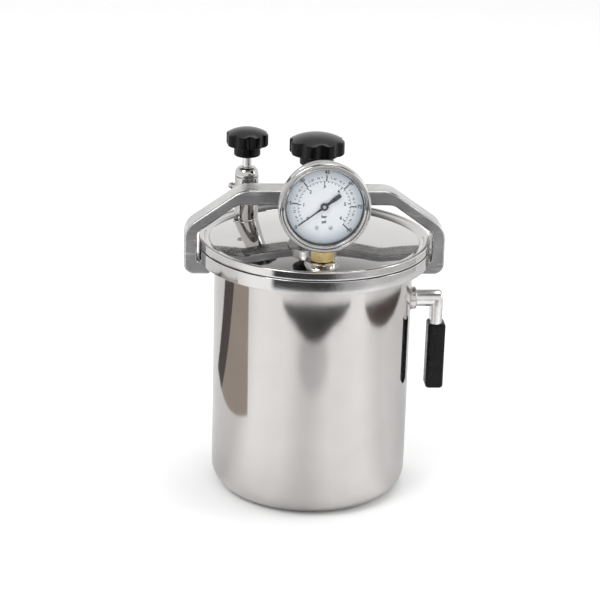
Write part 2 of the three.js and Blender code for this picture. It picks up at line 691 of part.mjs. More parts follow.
function valveBody() {
  const domeHere = domeCutter.translate([-VALVE.x, -VALVE.y, 0]);
  const barrel = disc(VALVE.radius, TRIMMED_BOTTOM, VALVE.bodyTop).subtract(domeHere);
  const spigot = disc(VALVE.spigotR, VALVE.spigotBottom, VALVE.seat - 1);
  const bore = disc(VALVE.boreR, VALVE.seat, VALVE.bodyTop + 1, SMALL);
  const port = disc(VALVE.portR, CUTTER_BOTTOM, VALVE.seat + 1, SMALL);
  const nozzleHole = alongNozzle(disc(NOZZLE.radius + GAP, 2, VALVE.radius + 4, SMALL));
  return barrel.add(spigot).subtract(bore).subtract(port).subtract(nozzleHole);
}

function valveNozzle() {
  const inner = VALVE.boreR + 0.6;
  const outer = VALVE.radius + NOZZLE.length;
  const chamfer = 0.8;
  return alongNozzle(turned([
    [NOZZLE.boreR, inner],
    [NOZZLE.radius, inner],
    [NOZZLE.radius, outer - chamfer],
    [NOZZLE.radius - chamfer, outer],
    [NOZZLE.boreR, outer],
  ], SMALL));
}

// Domed cap with a plug that presses the packing round the stem.
function valveBonnet() {
  const hole = STEM_R + GAP;
  const plugR = VALVE.boreR - GAP;
  const base = VALVE.bodyTop + GAP;
  const crownR = VALVE.radius - hole - 0.8;
  const crownBase = base + 1;
  const sweep = THREE.MathUtils.degToRad(66);
  const crown = Array.from({ length: 6 }, (_, i) => {
    const angle = (i / 5) * sweep;
    const rise = ((VALVE.bonnetTop - crownBase) * Math.sin(angle)) / Math.sin(sweep);
    return [hole + 0.8 + crownR * Math.cos(angle), crownBase + rise];
  });
  return turned([
    [hole, base - VALVE.plugLength],
    [plugR, base - VALVE.plugLength],
    [plugR, base],
    [VALVE.radius, base],
    ...crown,
    [hole, VALVE.bonnetTop],
  ], 24);
}

function valvePacking() {
  const top = VALVE.bodyTop - VALVE.plugLength;
  return ring(STEM_R + GAP, VALVE.boreR - GAP, top - 2.4, top, SMALL);
}

// Plug that closes the port, with a socket for the stem's tip.
function valveDisc() {
  const socketR = STEM_TIP_R + GAP;
  const bottom = VALVE.seat + 2;
  const radius = VALVE.boreR - 0.6;
  return turned([
    [0, bottom],
    [radius, bottom],
    [radius, DISC_TOP],
    [socketR, DISC_TOP],
    [socketR, DISC_TOP - DISC_SOCKET],
    [0, DISC_TOP - DISC_SOCKET],
  ], 24);
}

function valveStem() {
  const bottom = DISC_TOP - DISC_SOCKET + GAP;
  const top = VALVE_KNOB.discTop - 1;
  return turned([
    [0, bottom],
    [STEM_TIP_R - 0.3, bottom],
    [STEM_TIP_R, bottom + 0.3],
    [STEM_TIP_R, DISC_TOP + 1],
    [STEM_R, DISC_TOP + 1.6],
    [STEM_R, top - 0.6],
    [STEM_R - 0.6, top],
    [0, top],
  ], 24);
}

piece('valve_body', atValve(valveBody()), steel);
piece('valve_nozzle', atValve(valveNozzle()), steel);
piece('valve_bonnet', atValve(valveBonnet()), steel);
piece('valve_packing', atValve(valvePacking()), rubber);
piece('valve_seal', atValve(disc(5, VALVE.seat + GAP, VALVE.seat + 1.7, 24)), rubber);
piece('valve_disc', atValve(valveDisc()), brass);
piece('valve_stem', atValve(valveStem()), satinSteel);

// ---------------------------------------------------------------- knobs
function lobedShape(radius, depth) {
  const pointsPerLobe = 7;
  const count = KNOB_LOBES * pointsPerLobe;
  return shapeOf(Array.from({ length: count }, (_, i) => {
    const turn = (i / count) * 2 * Math.PI;
    const valley = (0.5 + 0.5 * Math.cos(KNOB_LOBES * turn)) ** 1.6;
    const r = radius - depth * valley;
    return [r * Math.cos(turn + KNOB_VALLEY), r * Math.sin(turn + KNOB_VALLEY)];
  }));
}

// Moulded knob: a lobed disc with a domed top, on a round hub with a blind hole for its insert.
function knob({ radius, hubR, bottom, discBottom, discTop: sideTop, top, boreR }) {
  const lobes = prism(lobedShape(radius, radius * VALLEY_SHARE), discBottom, top + 2);
  const crown = Array.from({ length: 5 }, (_, i) => {
    const r = radius * (1 - i / 4) ** 0.75 * 0.97;
    return [r, top - (top - sideTop) * (r / radius) ** 2.2];
  });
  const envelope = turned([
    [0, discBottom],
    [radius - 2.6, discBottom],
    [radius, discBottom + 2.2],
    [radius, sideTop - 0.8],
    ...crown,
  ], 42);
  const hub = turned([
    [0, bottom],
    [hubR - 1.6, bottom],
    [hubR, bottom + 1.6],
    [hubR, discBottom + 1],
    [0, discBottom + 1],
  ]);
  return lobes.intersect(envelope).add(hub).subtract(disc(boreR, bottom - 1, sideTop - 0.5, SMALL));
}

function knobInsert({ bottom, discTop: sideTop, boreR }, innerR) {
  return ring(innerR, boreR - GAP, bottom - 0.4, sideTop - 1, 24);
}

// Screw with a foot disc that turns in the thrust cup, a neck, its threaded length and a shank.
function clampScrew() {
  const footR = FOOT_R - GAP;
  const bottom = THRUST_FLOOR + GAP;
  const shoulder = MAIN_KNOB.bottom - 1;
  const top = MAIN_KNOB.discTop - 1.4;
  return turned([
    [0, bottom],
    [footR - 1.6, bottom],
    [footR, THRUST_FLOOR + 1.4],
    [footR, FOOT_TOP],
    [NECK_R, FOOT_TOP],
    [NECK_R, THRUST_TOP + 0.8],
    [SCREW_R, THRUST_TOP + 2],
    [SCREW_R, shoulder - 1],
    [SCREW_R - 1, shoulder],
    [MAIN_SHANK_R, shoulder],
    [MAIN_SHANK_R, top],
    [0, top],
  ], SMALL);
}

piece('valve_knob', atValve(knob(VALVE_KNOB)), blackPlastic);
piece('valve_knob_insert', atValve(knobInsert(VALVE_KNOB, STEM_R + GAP)), brass);
piece('clamp_screw', clampScrew(), satinSteel);
piece('main_knob', knob(MAIN_KNOB), blackPlastic);
piece('main_knob_insert', knobInsert(MAIN_KNOB, MAIN_SHANK_R + GAP), brass);

export default pot;
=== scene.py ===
import math

import bmesh
import bpy
from mathutils import Matrix, Vector


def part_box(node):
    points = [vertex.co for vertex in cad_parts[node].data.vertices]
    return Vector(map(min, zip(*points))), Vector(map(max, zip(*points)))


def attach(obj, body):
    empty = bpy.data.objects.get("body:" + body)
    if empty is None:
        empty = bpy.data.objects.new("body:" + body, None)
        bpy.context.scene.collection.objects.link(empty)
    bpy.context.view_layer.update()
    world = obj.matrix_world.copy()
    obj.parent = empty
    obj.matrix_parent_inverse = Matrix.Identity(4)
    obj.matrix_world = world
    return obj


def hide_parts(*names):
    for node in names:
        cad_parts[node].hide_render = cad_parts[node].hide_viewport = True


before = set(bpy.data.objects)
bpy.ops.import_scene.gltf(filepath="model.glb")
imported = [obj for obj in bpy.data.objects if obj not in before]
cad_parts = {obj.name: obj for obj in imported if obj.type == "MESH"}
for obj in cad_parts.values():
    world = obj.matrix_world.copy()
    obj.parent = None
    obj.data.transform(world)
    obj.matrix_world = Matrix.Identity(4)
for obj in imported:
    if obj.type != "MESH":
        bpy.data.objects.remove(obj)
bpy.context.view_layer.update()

# Outlines are written in millimetres in the frame's own axes, and scaled to metres as a mesh is made.
MM = 0.001
GAP = 0.3
EXTRA = 1.0  # how far a cutting tool runs past the face that it cuts


def extent(node):
    """Lowest and highest corner of a CAD node, in millimetres."""
    low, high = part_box(node)
    return Vector(low) / MM, Vector(high) / MM


def depths(node):
    """Back and front of a piece of the gauge, as depths that grow towards the gauge's face."""
    low, high = extent(node)
    return -high.y, -low.y


# ---- sizes read from the frame
pot_high = extent("pot_shell")[1]
flange_low, flange_high = extent("flange_ring")
gasket_low, gasket_high = extent("rim_gasket")
lid_low, lid_high = extent("lid_shell")
cup_high = extent("thrust_cup")[1]
retainer_low, retainer_high = extent("foot_retainer")
yoke_low, yoke_high = extent("yoke_bar")
bush_low, bush_high = extent("yoke_bush")
screw_low, screw_high = extent("clamp_screw")
boss_low, boss_high = extent("gauge_boss")
hex_low, hex_high = extent("gauge_adapter")
socket_low, socket_high = extent("gauge_socket")
case_low, case_high = extent("gauge_case")
bezel_low, bezel_high = extent("gauge_bezel")
lens_high = extent("gauge_lens")[1]
dial_high = extent("gauge_dial")[1]
body_low, body_high = extent("valve_body")
bonnet_low, bonnet_high = extent("valve_bonnet")
nozzle_low, nozzle_high = extent("valve_nozzle")
stem_low, stem_high = extent("valve_stem")
arm_low, arm_high = extent("handle_arm")
collar_low, collar_high = extent("handle_collar")
grip_low, grip_high = extent("handle_grip")

POT_R = pot_high.x
POT_WALL = 2
POT_CORNER_R = 17
FLANGE_R = flange_high.x
FLANGE_BOTTOM = flange_low.z
RIM_Z = flange_high.z
LID_R = lid_high.x
LID_BOTTOM = lid_low.z
LID_CREST_Z = LID_BOTTOM + 6.9  # top of the lid's rolled rim
LID_SHEET = 2.4
DOME_TOP = lid_high.z
DOME_EDGE_R = 84
DOME_EDGE_Z = LID_BOTTOM + 4.3
GASKET_WIDTH = 4.8

GAUGE_Z = (bezel_low.z + bezel_high.z) / 2
DIAL_DEPTH = depths("gauge_dial")[1]
PRINT_THICK = 0.08
PRINT_DEPTH = DIAL_DEPTH + 0.02
STEM_Y = (boss_low.y + boss_high.y) / 2
BOSS_SPIGOT_R = 9.1
SOCKET_THREAD_R = 4.3
VALVE_X = (body_low.x + body_high.x) / 2
VALVE_Y = (body_low.y + body_high.y) / 2
VALVE_R = (body_high.x - body_low.x) / 2
VALVE_SPIGOT_R = VALVE_R - 2
VALVE_CHAMBER_R = 6.2
NOZZLE_R = 2.9
HANDLE_Z = (collar_low.z + collar_high.z) / 2
HANDLE_R = 7
TANG_NEAR_X = 97
TANG_X = (TANG_NEAR_X + arm_high.x) / 2
TANG_HALF_X = (arm_high.x - TANG_NEAR_X) / 2
TANG_HALF_Y = 7.5
SCREW_R = 7.6
SCREW_NECK_R = 6.4
YOKE_HALF = 11.5  # half of the yoke's depth along Y
FULL_OUTER = 90
OUTER_STEP = 15  # from one number of the outer scale to the next
FULL_INNER = 6.2  # what the outer scale's end is on the inner scale
POINTER_ZERO = 218  # degrees from +X, seen from the front
DIAL_SWEEP = 262  # degrees
NOZZLE_DIRECTION = math.radians(149)
NOZZLE_Z = (nozzle_low.z + nozzle_high.z) / 2

FINE = 224  # sides of the pot, flange and lid
MEDIUM = 96
SMALL = 48

ON_GAUGE = Matrix.Translation((0, 0, GAUGE_Z)) @ Matrix.Rotation(math.pi / 2, 4, "X")
ON_HANDLE = Matrix.Translation((0, 0, HANDLE_Z)) @ Matrix.Rotation(math.pi / 2, 4, "Y")
AT_STEM = Matrix.Translation((0, STEM_Y, 0))
AT_VALVE = Matrix.Translation((VALVE_X, VALVE_Y, 0))
AT_TANG = Matrix.Translation((TANG_X, 0, 0))
ON_NOZZLE = (
    Matrix.Translation((VALVE_X, VALVE_Y, NOZZLE_Z))
    @ Matrix.Rotation(NOZZLE_DIRECTION, 4, "Z")
    @ Matrix.Rotation(math.pi / 2, 4, "Y")
)


# ---- outlines
def rounded(corners, closed=True, steps=6):
    """Points of a line through (x, y, radius) corners, each corner rounded by an arc."""
    points = []
    for i, (x, y, radius) in enumerate(corners):
        here = Vector((x, y))
        at_end = not closed and i in (0, len(corners) - 1)
        if radius <= 0 or at_end:
            points.append(here)
            continue
        back = (Vector(corners[i - 1][:2]) - here).normalized()
        ahead = (Vector(corners[(i + 1) % len(corners)][:2]) - here).normalized()
        half = back.angle(ahead) / 2
        middle = here + (back + ahead).normalized() * radius / math.sin(half)
        first = here + back * radius / math.tan(half) - middle
        last = here + ahead * radius / math.tan(half) - middle
        sweep = first.angle(last)
        for k in range(steps + 1):
            share = k / steps
            blend = first * math.sin((1 - share) * sweep) + last * math.sin(share * sweep)
            points.append(middle + blend / math.sin(sweep))
    return points


def profile(corners, steps=6):
    """A rounded line that ends at its first and last corner."""
    return rounded(corners, closed=False, steps=steps)


def ring(inner, outer, low, high, radii, steps=6):
    """Outline of a plain ring. Its corners' radii start at the inner lower corner and go round."""
    corners = zip((inner, outer, outer, inner), (low, low, high, high), radii)
    return rounded(list(corners), steps=steps)


def disc(radius, low, high, lower=0.0, upper=0.0):
    """Outline of a plain round disc or rod, with the radii of its lower and upper edges."""
    return profile([(0, low, 0), (radius, low, lower), (radius, high, upper), (0, high, 0)])


def rectangle(half_x, half_y, radius=0.0, steps=6):
    """A rectangle round the origin with rounded corners."""
    return rounded([
        (-half_x, -half_y, radius), (half_x, -half_y, radius),
        (half_x, half_y, radius), (-half_x, half_y, radius),
    ], steps=steps)


def arc(radius, first, last, steps=24):
    """Points round the origin, from one angle in degrees to another."""
    angles = [math.radians(first + (last - first) * k / steps) for k in range(steps + 1)]
    return [Vector((math.cos(a), math.sin(a))) * radius for a in angles]


def circle(radius, count):
    return arc(radius, 0, 360, count)[:-1]


def inset(points, distance):
    """A counter-clockwise outline with every point moved inwards."""
    moved = []
    for i, point in enumerate(points):
        before = (point - points[i - 1]).normalized()
        after = (points[(i + 1) % len(points)] - point).normalized()
        inward = Vector((-before.y - after.y, before.x + after.x))
        moved.append(point + inward * distance / (1 + before.dot(after)))
    return moved


def dome_z(x, y=0.0):
    """Height of the lid's domed outer face."""
    rise = DOME_TOP - DOME_EDGE_Z
    radius = (DOME_EDGE_R**2 + rise**2) / (2 * rise)
    return DOME_TOP - radius + math.sqrt(radius**2 - x**2 - y**2)


def dome_line(edge, drop=0.0, steps=36):
    """Points along the dome from its middle out to a radius."""
    return [(edge * k / steps, dome_z(edge * k / steps) - drop) for k in range(steps + 1)]


# ---- geometry
def bands(rows, closed=False):
    """Faces between rows of point numbers. Each row runs round, or is a single point."""
    pairs = list(zip(rows, rows[1:]))
    if closed:
        pairs.append((rows[-1], rows[0]))
    faces = []
    for low, high in pairs:
        count = max(len(low), len(high))
        for k in range(count):
            after = (k + 1) % count
            if len(low) == 1:
                faces.append((low[0], high[after], high[k]))
            elif len(high) == 1:
                faces.append((low[k], low[after], high[0]))
            else:
                faces.append((low[k], low[after], high[after], high[k]))
    return faces


def turned(outline, sides=MEDIUM, shape=None):
    """Turns (radius, height) points about +Z. Points off the axis at both ends close into a ring.
    shape(angle, radius, height) may move a point to another radius and height."""
    verts = []
    rows = []
    for radius, height in outline:
        count = 1 if radius < 1e-6 else sides
        rows.append(range(len(verts), len(verts) + count))
        for k in range(count):
            angle = 2 * math.pi * k / sides
            r, z = shape(angle, radius, height) if shape else (radius, height)
            verts.append((r * math.cos(angle), r * math.sin(angle), z))
    open_middle = len(rows[0]) > 1 and len(rows[-1]) > 1
    return verts, bands(rows, closed=open_middle)


def slab(outline, low, high, edge=0.0, steps=4):
    """An outline raised from low to high, its upper and lower edges rounded."""
    layers = []
    for k in range(steps + 1 if edge else 1):
        lean = math.pi / 2 * k / steps
        layers.append((edge * (1 - math.sin(lean)), low + edge * (1 - math.cos(lean))))
    layers += [(cut, low + high - z) for cut, z in reversed(layers)]
    verts = []
    rows = []
    for cut, z in layers:
        rows.append(range(len(verts), len(verts) + len(outline)))
        verts += [(p.x, p.y, z) for p in (inset(outline, cut) if cut else outline)]
    return verts, [tuple(reversed(rows[0])), tuple(rows[-1]), *bands(rows)]


def bead(centre, path, width, ripple=0.0, sides=10):
    """A fillet of weld metal along a closed path round a centre."""
    verts = []
    rows = []
    for i, point in enumerate(path):
        along = (path[(i + 1) % len(path)] - path[i - 1]).normalized()
        out = (point - centre).normalized()
        side = along.cross(out).normalized()
        out = side.cross(along)
        size = width * (1 + ripple * math.sin(2.1 * i) + ripple * math.sin(0.77 * i))
        rows.append(range(len(verts), len(verts) + sides))
        for k in range(sides):
            angle = 2 * math.pi * k / sides
            verts.append(point + out * size * math.cos(angle) + side * size * math.sin(angle))
    return verts, bands(rows, closed=True)


def polygon_limit(flat, sides, start):
    """Keeps a turned point inside a regular polygon with a corner in the direction start."""
    wedge = 2 * math.pi / sides

    def limit(angle, radius, height):
        across = (angle - start) % wedge - wedge / 2
        return min(radius, flat / math.cos(across)), height

    return limit


def joined(*solids):
    """Several geometries as one."""
    verts = []
    faces = []
    for more, sides in solids:
        start = len(verts)
        verts += more
        faces += [tuple(start + i for i in face) for face in sides]
    return verts, faces


def moved(geometry, place):
    verts, faces = geometry
    return [place @ Vector(v) for v in verts], faces


# ---- pieces
def placed(name, data):
    """A new object in the scene."""
    obj = bpy.data.objects.new(name, data)
    bpy.context.collection.objects.link(obj)
    return obj


def solid(name, geometry, place=Matrix()):
    """A Blender object of a geometry, with its faces pointing out."""
    verts, faces = geometry
    mesh = bpy.data.meshes.new(name)
    mesh.from_pydata([(place @ Vector(v)) * MM for v in verts], [], faces)
    work = bmesh.new()
    work.from_mesh(mesh)
    bmesh.ops.remove_doubles(work, verts=work.verts, dist=1e-7)
    bmesh.ops.recalc_face_normals(work, faces=work.faces)
    work.to_mesh(mesh)
    work.free()
    return placed(name, mesh)


def evaluated(obj):
    """A mesh of an object as its modifiers or its curve make it."""
    depsgraph = bpy.context.evaluated_depsgraph_get()
    return bpy.data.meshes.new_from_object(obj.evaluated_get(depsgraph))


def combine(obj, tool, operation="DIFFERENCE"):
    """Cuts the tool from obj, or joins it on."""
    change = obj.modifiers.new("combine", "BOOLEAN")
    change.operation = operation
    change.solver = "EXACT"
    change.object = tool
    result = evaluated(obj)
    obj.modifiers.clear()
    obj.data = result
    bpy.data.objects.remove(tool)
    return obj


def drill(obj, radius, low, high, place=Matrix(), sides=SMALL):
    """Cuts a round hole about the Z axis of a place."""
    return combine(obj, solid("drill", turned(disc(radius, low, high), sides), place))


def dress(obj, body, slot, material, *replaced, sharp=34):
    """Gives a piece its shading, finish and body, and hides the CAD nodes that it stands for."""
    obj.data.materials.clear()
    obj.data.materials.append(material)
    obj.data.shade_smooth()
    obj.data.set_sharp_from_angle(angle=math.radians(sharp))
    weights = obj.modifiers.new("even_faces", "WEIGHTED_NORMAL")
    weights.keep_sharp = True
    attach(obj, body)
    if replaced:
        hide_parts(*replaced)
    return obj


def weld(name, body, centre, path, width, ripple):
    """A bead of weld metal that stands for no CAD node."""
    dress(solid(name, bead(centre, path, width, ripple)), body, "satin_steel", weld_steel)


def repaint(material, *nodes):
    """A CAD node whose shape is right keeps it, and takes a better material."""
    for name in nodes:
        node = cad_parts[name]
        node.data.materials.clear()
        node.data.materials.append(material)


# ---- materials
def shade(tone, factor):
    """A tone made darker or lighter."""
    return [min(1, c * factor) for c in tone]


class Surface:
    """A Principled material with helpers for its nodes."""

    def __init__(self, name, metallic=0.0, **constants):
        self.material = bpy.data.materials.new(name)
        self.material.use_nodes = True
        self.tree = self.material.node_tree
        self.shader = self.tree.nodes["Principled BSDF"]
        self.shader.inputs["Metallic"].default_value = metallic
        for socket, value in constants.items():
            self.shader.inputs[socket.replace("_", " ")].default_value = value
        self.place = self.node("ShaderNodeTexCoord").outputs["Object"]

    def node(self, kind):
        return self.tree.nodes.new(kind)

    def link(self, source, target):
        self.tree.links.new(source, target)

    def feed(self, sockets, *values):
        """Links outputs to sockets in turn, and sets constants on them."""
        for socket, value in zip(sockets, values):
            if isinstance(value, bpy.types.NodeSocket):
                self.link(value, socket)
            else:
                socket.default_value = value

    def vector(self, operation, *values):
        """A vector, or a number, worked out from vectors."""
        node = self.node("ShaderNodeVectorMath")
        node.operation = operation
        self.feed(node.inputs, *values)
        single = operation in ("LENGTH", "DISTANCE", "DOT_PRODUCT")
        return node.outputs["Value" if single else "Vector"]

    def part(self, vector, axis):
        """One component of a vector."""
        split = self.node("ShaderNodeSeparateXYZ")
        self.link(vector, split.inputs[0])
        return split.outputs[axis]

    def normal(self):
        return self.node("ShaderNodeNewGeometry").outputs["Normal"]

    def sideways(self):
        """The part of a point's place that lies across the Z axis."""
        return self.vector("MULTIPLY", self.place, (1, 1, 0))

    def around_axis(self):
        """Radius from the Z axis and height, for marks left by polishing on a lathe."""
        pair = self.node("ShaderNodeCombineXYZ")
        self.feed(pair.inputs, self.vector("LENGTH", self.sideways()), self.part(self.place, "Z"))
        return pair.outputs[0]

    def facing_inwards(self):
        """How far a face looks up and towards the Z axis, as inside a vessel."""
        outwards = self.vector("NORMALIZE", self.sideways())
        inwards = self.vector("SUBTRACT", (0, 0, 1), outwards)
        return self.vector("DOT_PRODUCT", inwards, self.normal())

    def noise(self, scale, detail=3.0, stretch=(1, 1, 1), place=None):
        mapping = self.node("ShaderNodeMapping")
        mapping.inputs["Scale"].default_value = stretch
        self.link(place or self.place, mapping.inputs["Vector"])
        texture = self.node("ShaderNodeTexNoise")
        texture.inputs["Scale"].default_value = scale
        texture.inputs["Detail"].default_value = detail
        self.link(mapping.outputs[0], texture.inputs["Vector"])
        return texture.outputs["Fac"]

    def scaled(self, value, low=0, high=1, start=0.3, end=0.7):
        """A value that runs from start to end, spread from low to high."""
        spread = self.node("ShaderNodeMapRange")
        self.feed(spread.inputs, value, start, end, low, high)
        return spread.outputs[0]

    def combined(self, operation, first, second=0.0):
        node = self.node("ShaderNodeMath")
        node.operation = operation
        self.feed(node.inputs, first, second)
        return node.outputs[0]

    def blend(self, share, first, second):
        """A colour between two colours."""
        node = self.node("ShaderNodeMix")
        node.data_type = "RGBA"
        self.link(share, node.inputs["Factor"])
        colours = [c if isinstance(c, bpy.types.NodeSocket) else (*c, 1) for c in (first, second)]
        self.feed([s for s in node.inputs if s.type == "RGBA"], *colours)
        return next(s for s in node.outputs if s.type == "RGBA")

    def colour(self, source):
        self.link(source, self.shader.inputs["Base Color"])

    def mottled(self, value, first, second):
        """Gives the surface two colours that alternate with a noise."""
        self.colour(self.blend(self.scaled(value), first, second))

    def roughness(self, source):
        self.link(source, self.shader.inputs["Roughness"])

    def relief(self, height, depth):
        """Bump of a real depth in millimetres."""
        bump = self.node("ShaderNodeBump")
        bump.inputs["Strength"].default_value = 1
        bump.inputs["Distance"].default_value = depth * MM
        self.link(height, bump.inputs["Height"])
        self.link(bump.outputs[0], self.shader.inputs["Normal"])


def polished_steel(name, tone, rough, turned_marks=True, ripple=0.06, matt_inside=False):
    """Buffed stainless sheet: concentric polishing marks, faint smudges and a slightly uneven wall.
    A vessel's inner face may be matt."""
    steel = Surface(name, metallic=1.0, Anisotropic=0.25, Anisotropic_Rotation=0.25)
    place = steel.around_axis() if turned_marks else None
    marks = steel.noise(1400, 4, place=place)
    smudge = steel.noise(26, 3)
    broad = steel.noise(9, 2, stretch=(1, 1, 0.45))
    steel.mottled(smudge, shade(tone, 0.965), shade(tone, 1.02))
    smudged = steel.scaled(smudge, rough * 0.75, rough * 1.3)
    worn = steel.combined("ADD", smudged, steel.scaled(marks, 0, 0.02))
    steel.roughness(worn)
    steel.relief(steel.combined("ADD", steel.combined("MULTIPLY", marks, 0.006), broad), ripple)
    if matt_inside:
        matt = steel.scaled(steel.facing_inwards(), 0, 1, 0, 0.5)
        steel.link(steel.scaled(matt, 1, 0.35, 0, 1), steel.shader.inputs["Metallic"])
        steel.roughness(steel.combined("ADD", worn, steel.combined("MULTIPLY", matt, 0.3)))
    if turned_marks:
        round_axis = steel.node("ShaderNodeTangent")
        round_axis.direction_type = "RADIAL"
        round_axis.axis = "Z"
        steel.link(round_axis.outputs[0], steel.shader.inputs["Tangent"])
    return steel.material


def machined_metal(name, tone, rough, variation=0.07, depth=0.012, stretch=(1, 1, 1), grain=900):
    """Turned or drawn metal with fine tool marks and slight tarnish."""
    metal = Surface(name, metallic=1.0)
    marks = metal.noise(grain, 4, stretch=stretch)
    tarnish = metal.noise(90, 4)
    metal.mottled(tarnish, shade(tone, 1 - variation), shade(tone, 1 + variation))
    worn = metal.scaled(tarnish, rough * 0.75, rough * 1.35)
    metal.roughness(metal.combined("ADD", worn, metal.scaled(marks, -0.03, 0.05)))
    metal.relief(marks, depth)
    return metal.material


def cast_aluminium():
    """Sand-cast bar: grainy front and back, ground and polished on its narrow faces."""
    metal = Surface("cast_aluminium_yoke", metallic=1.0)
    facing = metal.combined("ABSOLUTE", metal.part(metal.normal(), "Y"))
    cast = metal.scaled(facing, 0, 1, 0.86, 0.97)
    grain = metal.noise(620, 5)
    scratch = metal.noise(240, 4, stretch=(0.12, 1, 1.5))
    patches = metal.noise(34, 4)
    skin = metal.blend(metal.scaled(patches), (0.19, 0.19, 0.195), (0.33, 0.33, 0.335))
    skin = metal.blend(metal.scaled(scratch, 0, 1, 0.6, 0.76), skin, (0.52, 0.52, 0.52))
    ground = metal.blend(metal.scaled(patches), (0.42, 0.415, 0.41), (0.70, 0.695, 0.69))
    metal.colour(metal.blend(cast, ground, skin))
    rough_skin = metal.scaled(grain, 0.34, 0.52)
    fine_face = metal.scaled(scratch, 0.16, 0.34)
    difference = metal.combined("SUBTRACT", rough_skin, fine_face)
    metal.roughness(metal.combined("ADD", fine_face, metal.combined("MULTIPLY", difference, cast)))
    pitted = metal.combined("MULTIPLY", grain, metal.scaled(cast, 0.12, 1, 0, 1))
    metal.relief(metal.combined("ADD", pitted, metal.combined("MULTIPLY", scratch, 0.3)), 0.16)
    return metal.material


def moulded_plastic(name, tone, rough, grain, depth, gloss=0.16, painted_top_light=0.0):
    """Black moulding with fine texture, dulled in patches by handling, and painted light: a lighter tone on
    faces that look up, where light falls from above.
    """
    plastic = Surface(name, Specular_IOR_Level=gloss)
    texture = plastic.noise(grain, 3)
    handled = plastic.noise(60, 3)
    black = plastic.blend(plastic.scaled(handled), tone, shade(tone, 2.2))
    # Painted light: faces that look up get a lighter tone, standing for the light from above.
    lit_from_above = plastic.scaled(plastic.part(plastic.normal(), "Z"), 0, 1, 0.3, 1)
    plastic.colour(plastic.blend(lit_from_above, black, [c + painted_top_light for c in tone]))
    plastic.roughness(plastic.scaled(handled, rough * 0.8, rough * 1.35))
    plastic.relief(texture, depth)
    return plastic.material


def soft_rubber(name, tone, rough):
    rubber = Surface(name)
    grain = rubber.noise(700, 3)
    rubber.mottled(grain, shade(tone, 0.85), shade(tone, 1.1))
    rubber.roughness(rubber.scaled(grain, rough - 0.08, rough + 0.08))
    rubber.relief(grain, 0.02)
    return rubber.material


def clear_glass():
    """Thin flat window glass with faint wiping marks."""
    glass = Surface("clear_glass_lens", Alpha=0.05, IOR=1.5, Specular_IOR_Level=0.15)
    wiped = glass.noise(70, 4, stretch=(1, 1, 0.3))
    glass.mottled(wiped, (0.42, 0.48, 0.52), (0.52, 0.58, 0.62))
    glass.roughness(glass.scaled(wiped, 0.02, 0.09))
    return glass.material


def painted(name):
    """A slightly mottled coat of paint that still has no colour, and the mottling."""
    paint = Surface(name, Coat_Weight=0.15, Coat_Roughness=0.2)
    mottle = paint.noise(160, 4)
    paint.roughness(paint.scaled(mottle, 0.42, 0.58))
    paint.relief(paint.noise(1500, 2), 0.006)
    return paint, paint.scaled(mottle)


def enamel(name, tone, other):
    paint, mottle = painted(name)
    paint.colour(paint.blend(mottle, tone, other))
    return paint.material


def dial_enamel():
    """White enamel with painted shade from the bezel: greyer and bluer towards the dial's rim, and a
    painted black shadow line at its edge.
    """
    paint, mottle = painted("dial_enamel")
    middle = (0, -DIAL_DEPTH * MM, GAUGE_Z * MM)
    radius = paint.vector("DISTANCE", paint.place, middle)
    white = paint.blend(mottle, (0.74, 0.765, 0.80), (0.78, 0.80, 0.83))
    # Painted shade: the enamel turns greyer and bluer towards the rim, where the bezel shades it.
    rim = paint.scaled(radius, 0, 1, 19 * MM, 31 * MM)
    shaded_white = paint.blend(rim, white, (0.42, 0.48, 0.52))
    # Painted shadow: a black line at the dial's edge, where the bezel's lip shades it.
    edge = paint.scaled(radius, 0, 1, 29.9 * MM, 30.2 * MM)
    paint.colour(paint.blend(edge, shaded_white, (0.01, 0.011, 0.012)))
    return paint.material


pot_steel = polished_steel("pot_steel", (0.57, 0.55, 0.54), 0.06, ripple=0.035, matt_inside=True)
lid_steel = polished_steel("lid_steel", (0.61, 0.60, 0.595), 0.045, ripple=0.03)
fitting_steel = polished_steel("fitting_steel", (0.56, 0.545, 0.53), 0.06, turned_marks=False, ripple=0.02)
bezel_steel = polished_steel("bezel_steel", (0.50, 0.495, 0.49), 0.035, turned_marks=False, ripple=0.004)
satin_steel = machined_metal("satin_steel_parts", (0.66, 0.65, 0.64), 0.26)
case_steel = machined_metal("gauge_case_steel", (0.36, 0.355, 0.35), 0.3, variation=0.1, depth=0.01)
weld_steel = machined_metal("weld_steel", (0.62, 0.60, 0.57), 0.24, variation=0.12, depth=0.05, grain=300)
arm_steel = machined_metal(
    "handle_steel", (0.76, 0.745, 0.735), 0.2, variation=0.05, depth=0.02, stretch=(1, 1, 0.1))
rod_steel = machined_metal("rod_steel", (0.72, 0.71, 0.70), 0.16, variation=0.04, depth=0.008)
aluminium = cast_aluminium()
brass = machined_metal("dull_brass", (0.54, 0.42, 0.20), 0.32, variation=0.3, depth=0.02, grain=500)
# The knobs' tops get a painted lighter tone for the light from above.
knob_plastic = moulded_plastic(
    "knob_plastic", (0.0015, 0.0015, 0.0018), 0.14, grain=1300, depth=0.006, painted_top_light=0.035)
grip_plastic = moulded_plastic("grip_plastic", (0.003, 0.003, 0.0034), 0.22, grain=900, depth=0.01)
rubber_black = soft_rubber("black_rubber_seals", (0.03, 0.03, 0.032), 0.7)
silicone = soft_rubber("silicone_gasket", (0.62, 0.62, 0.60), 0.5)
glass = clear_glass()
dial_white = dial_enamel()
print_black = enamel("dial_print", (0.012, 0.013, 0.016), (0.02, 0.021, 0.025))
pointer_black = enamel("pointer_paint", (0.004, 0.004, 0.005), (0.008, 0.008, 0.009))


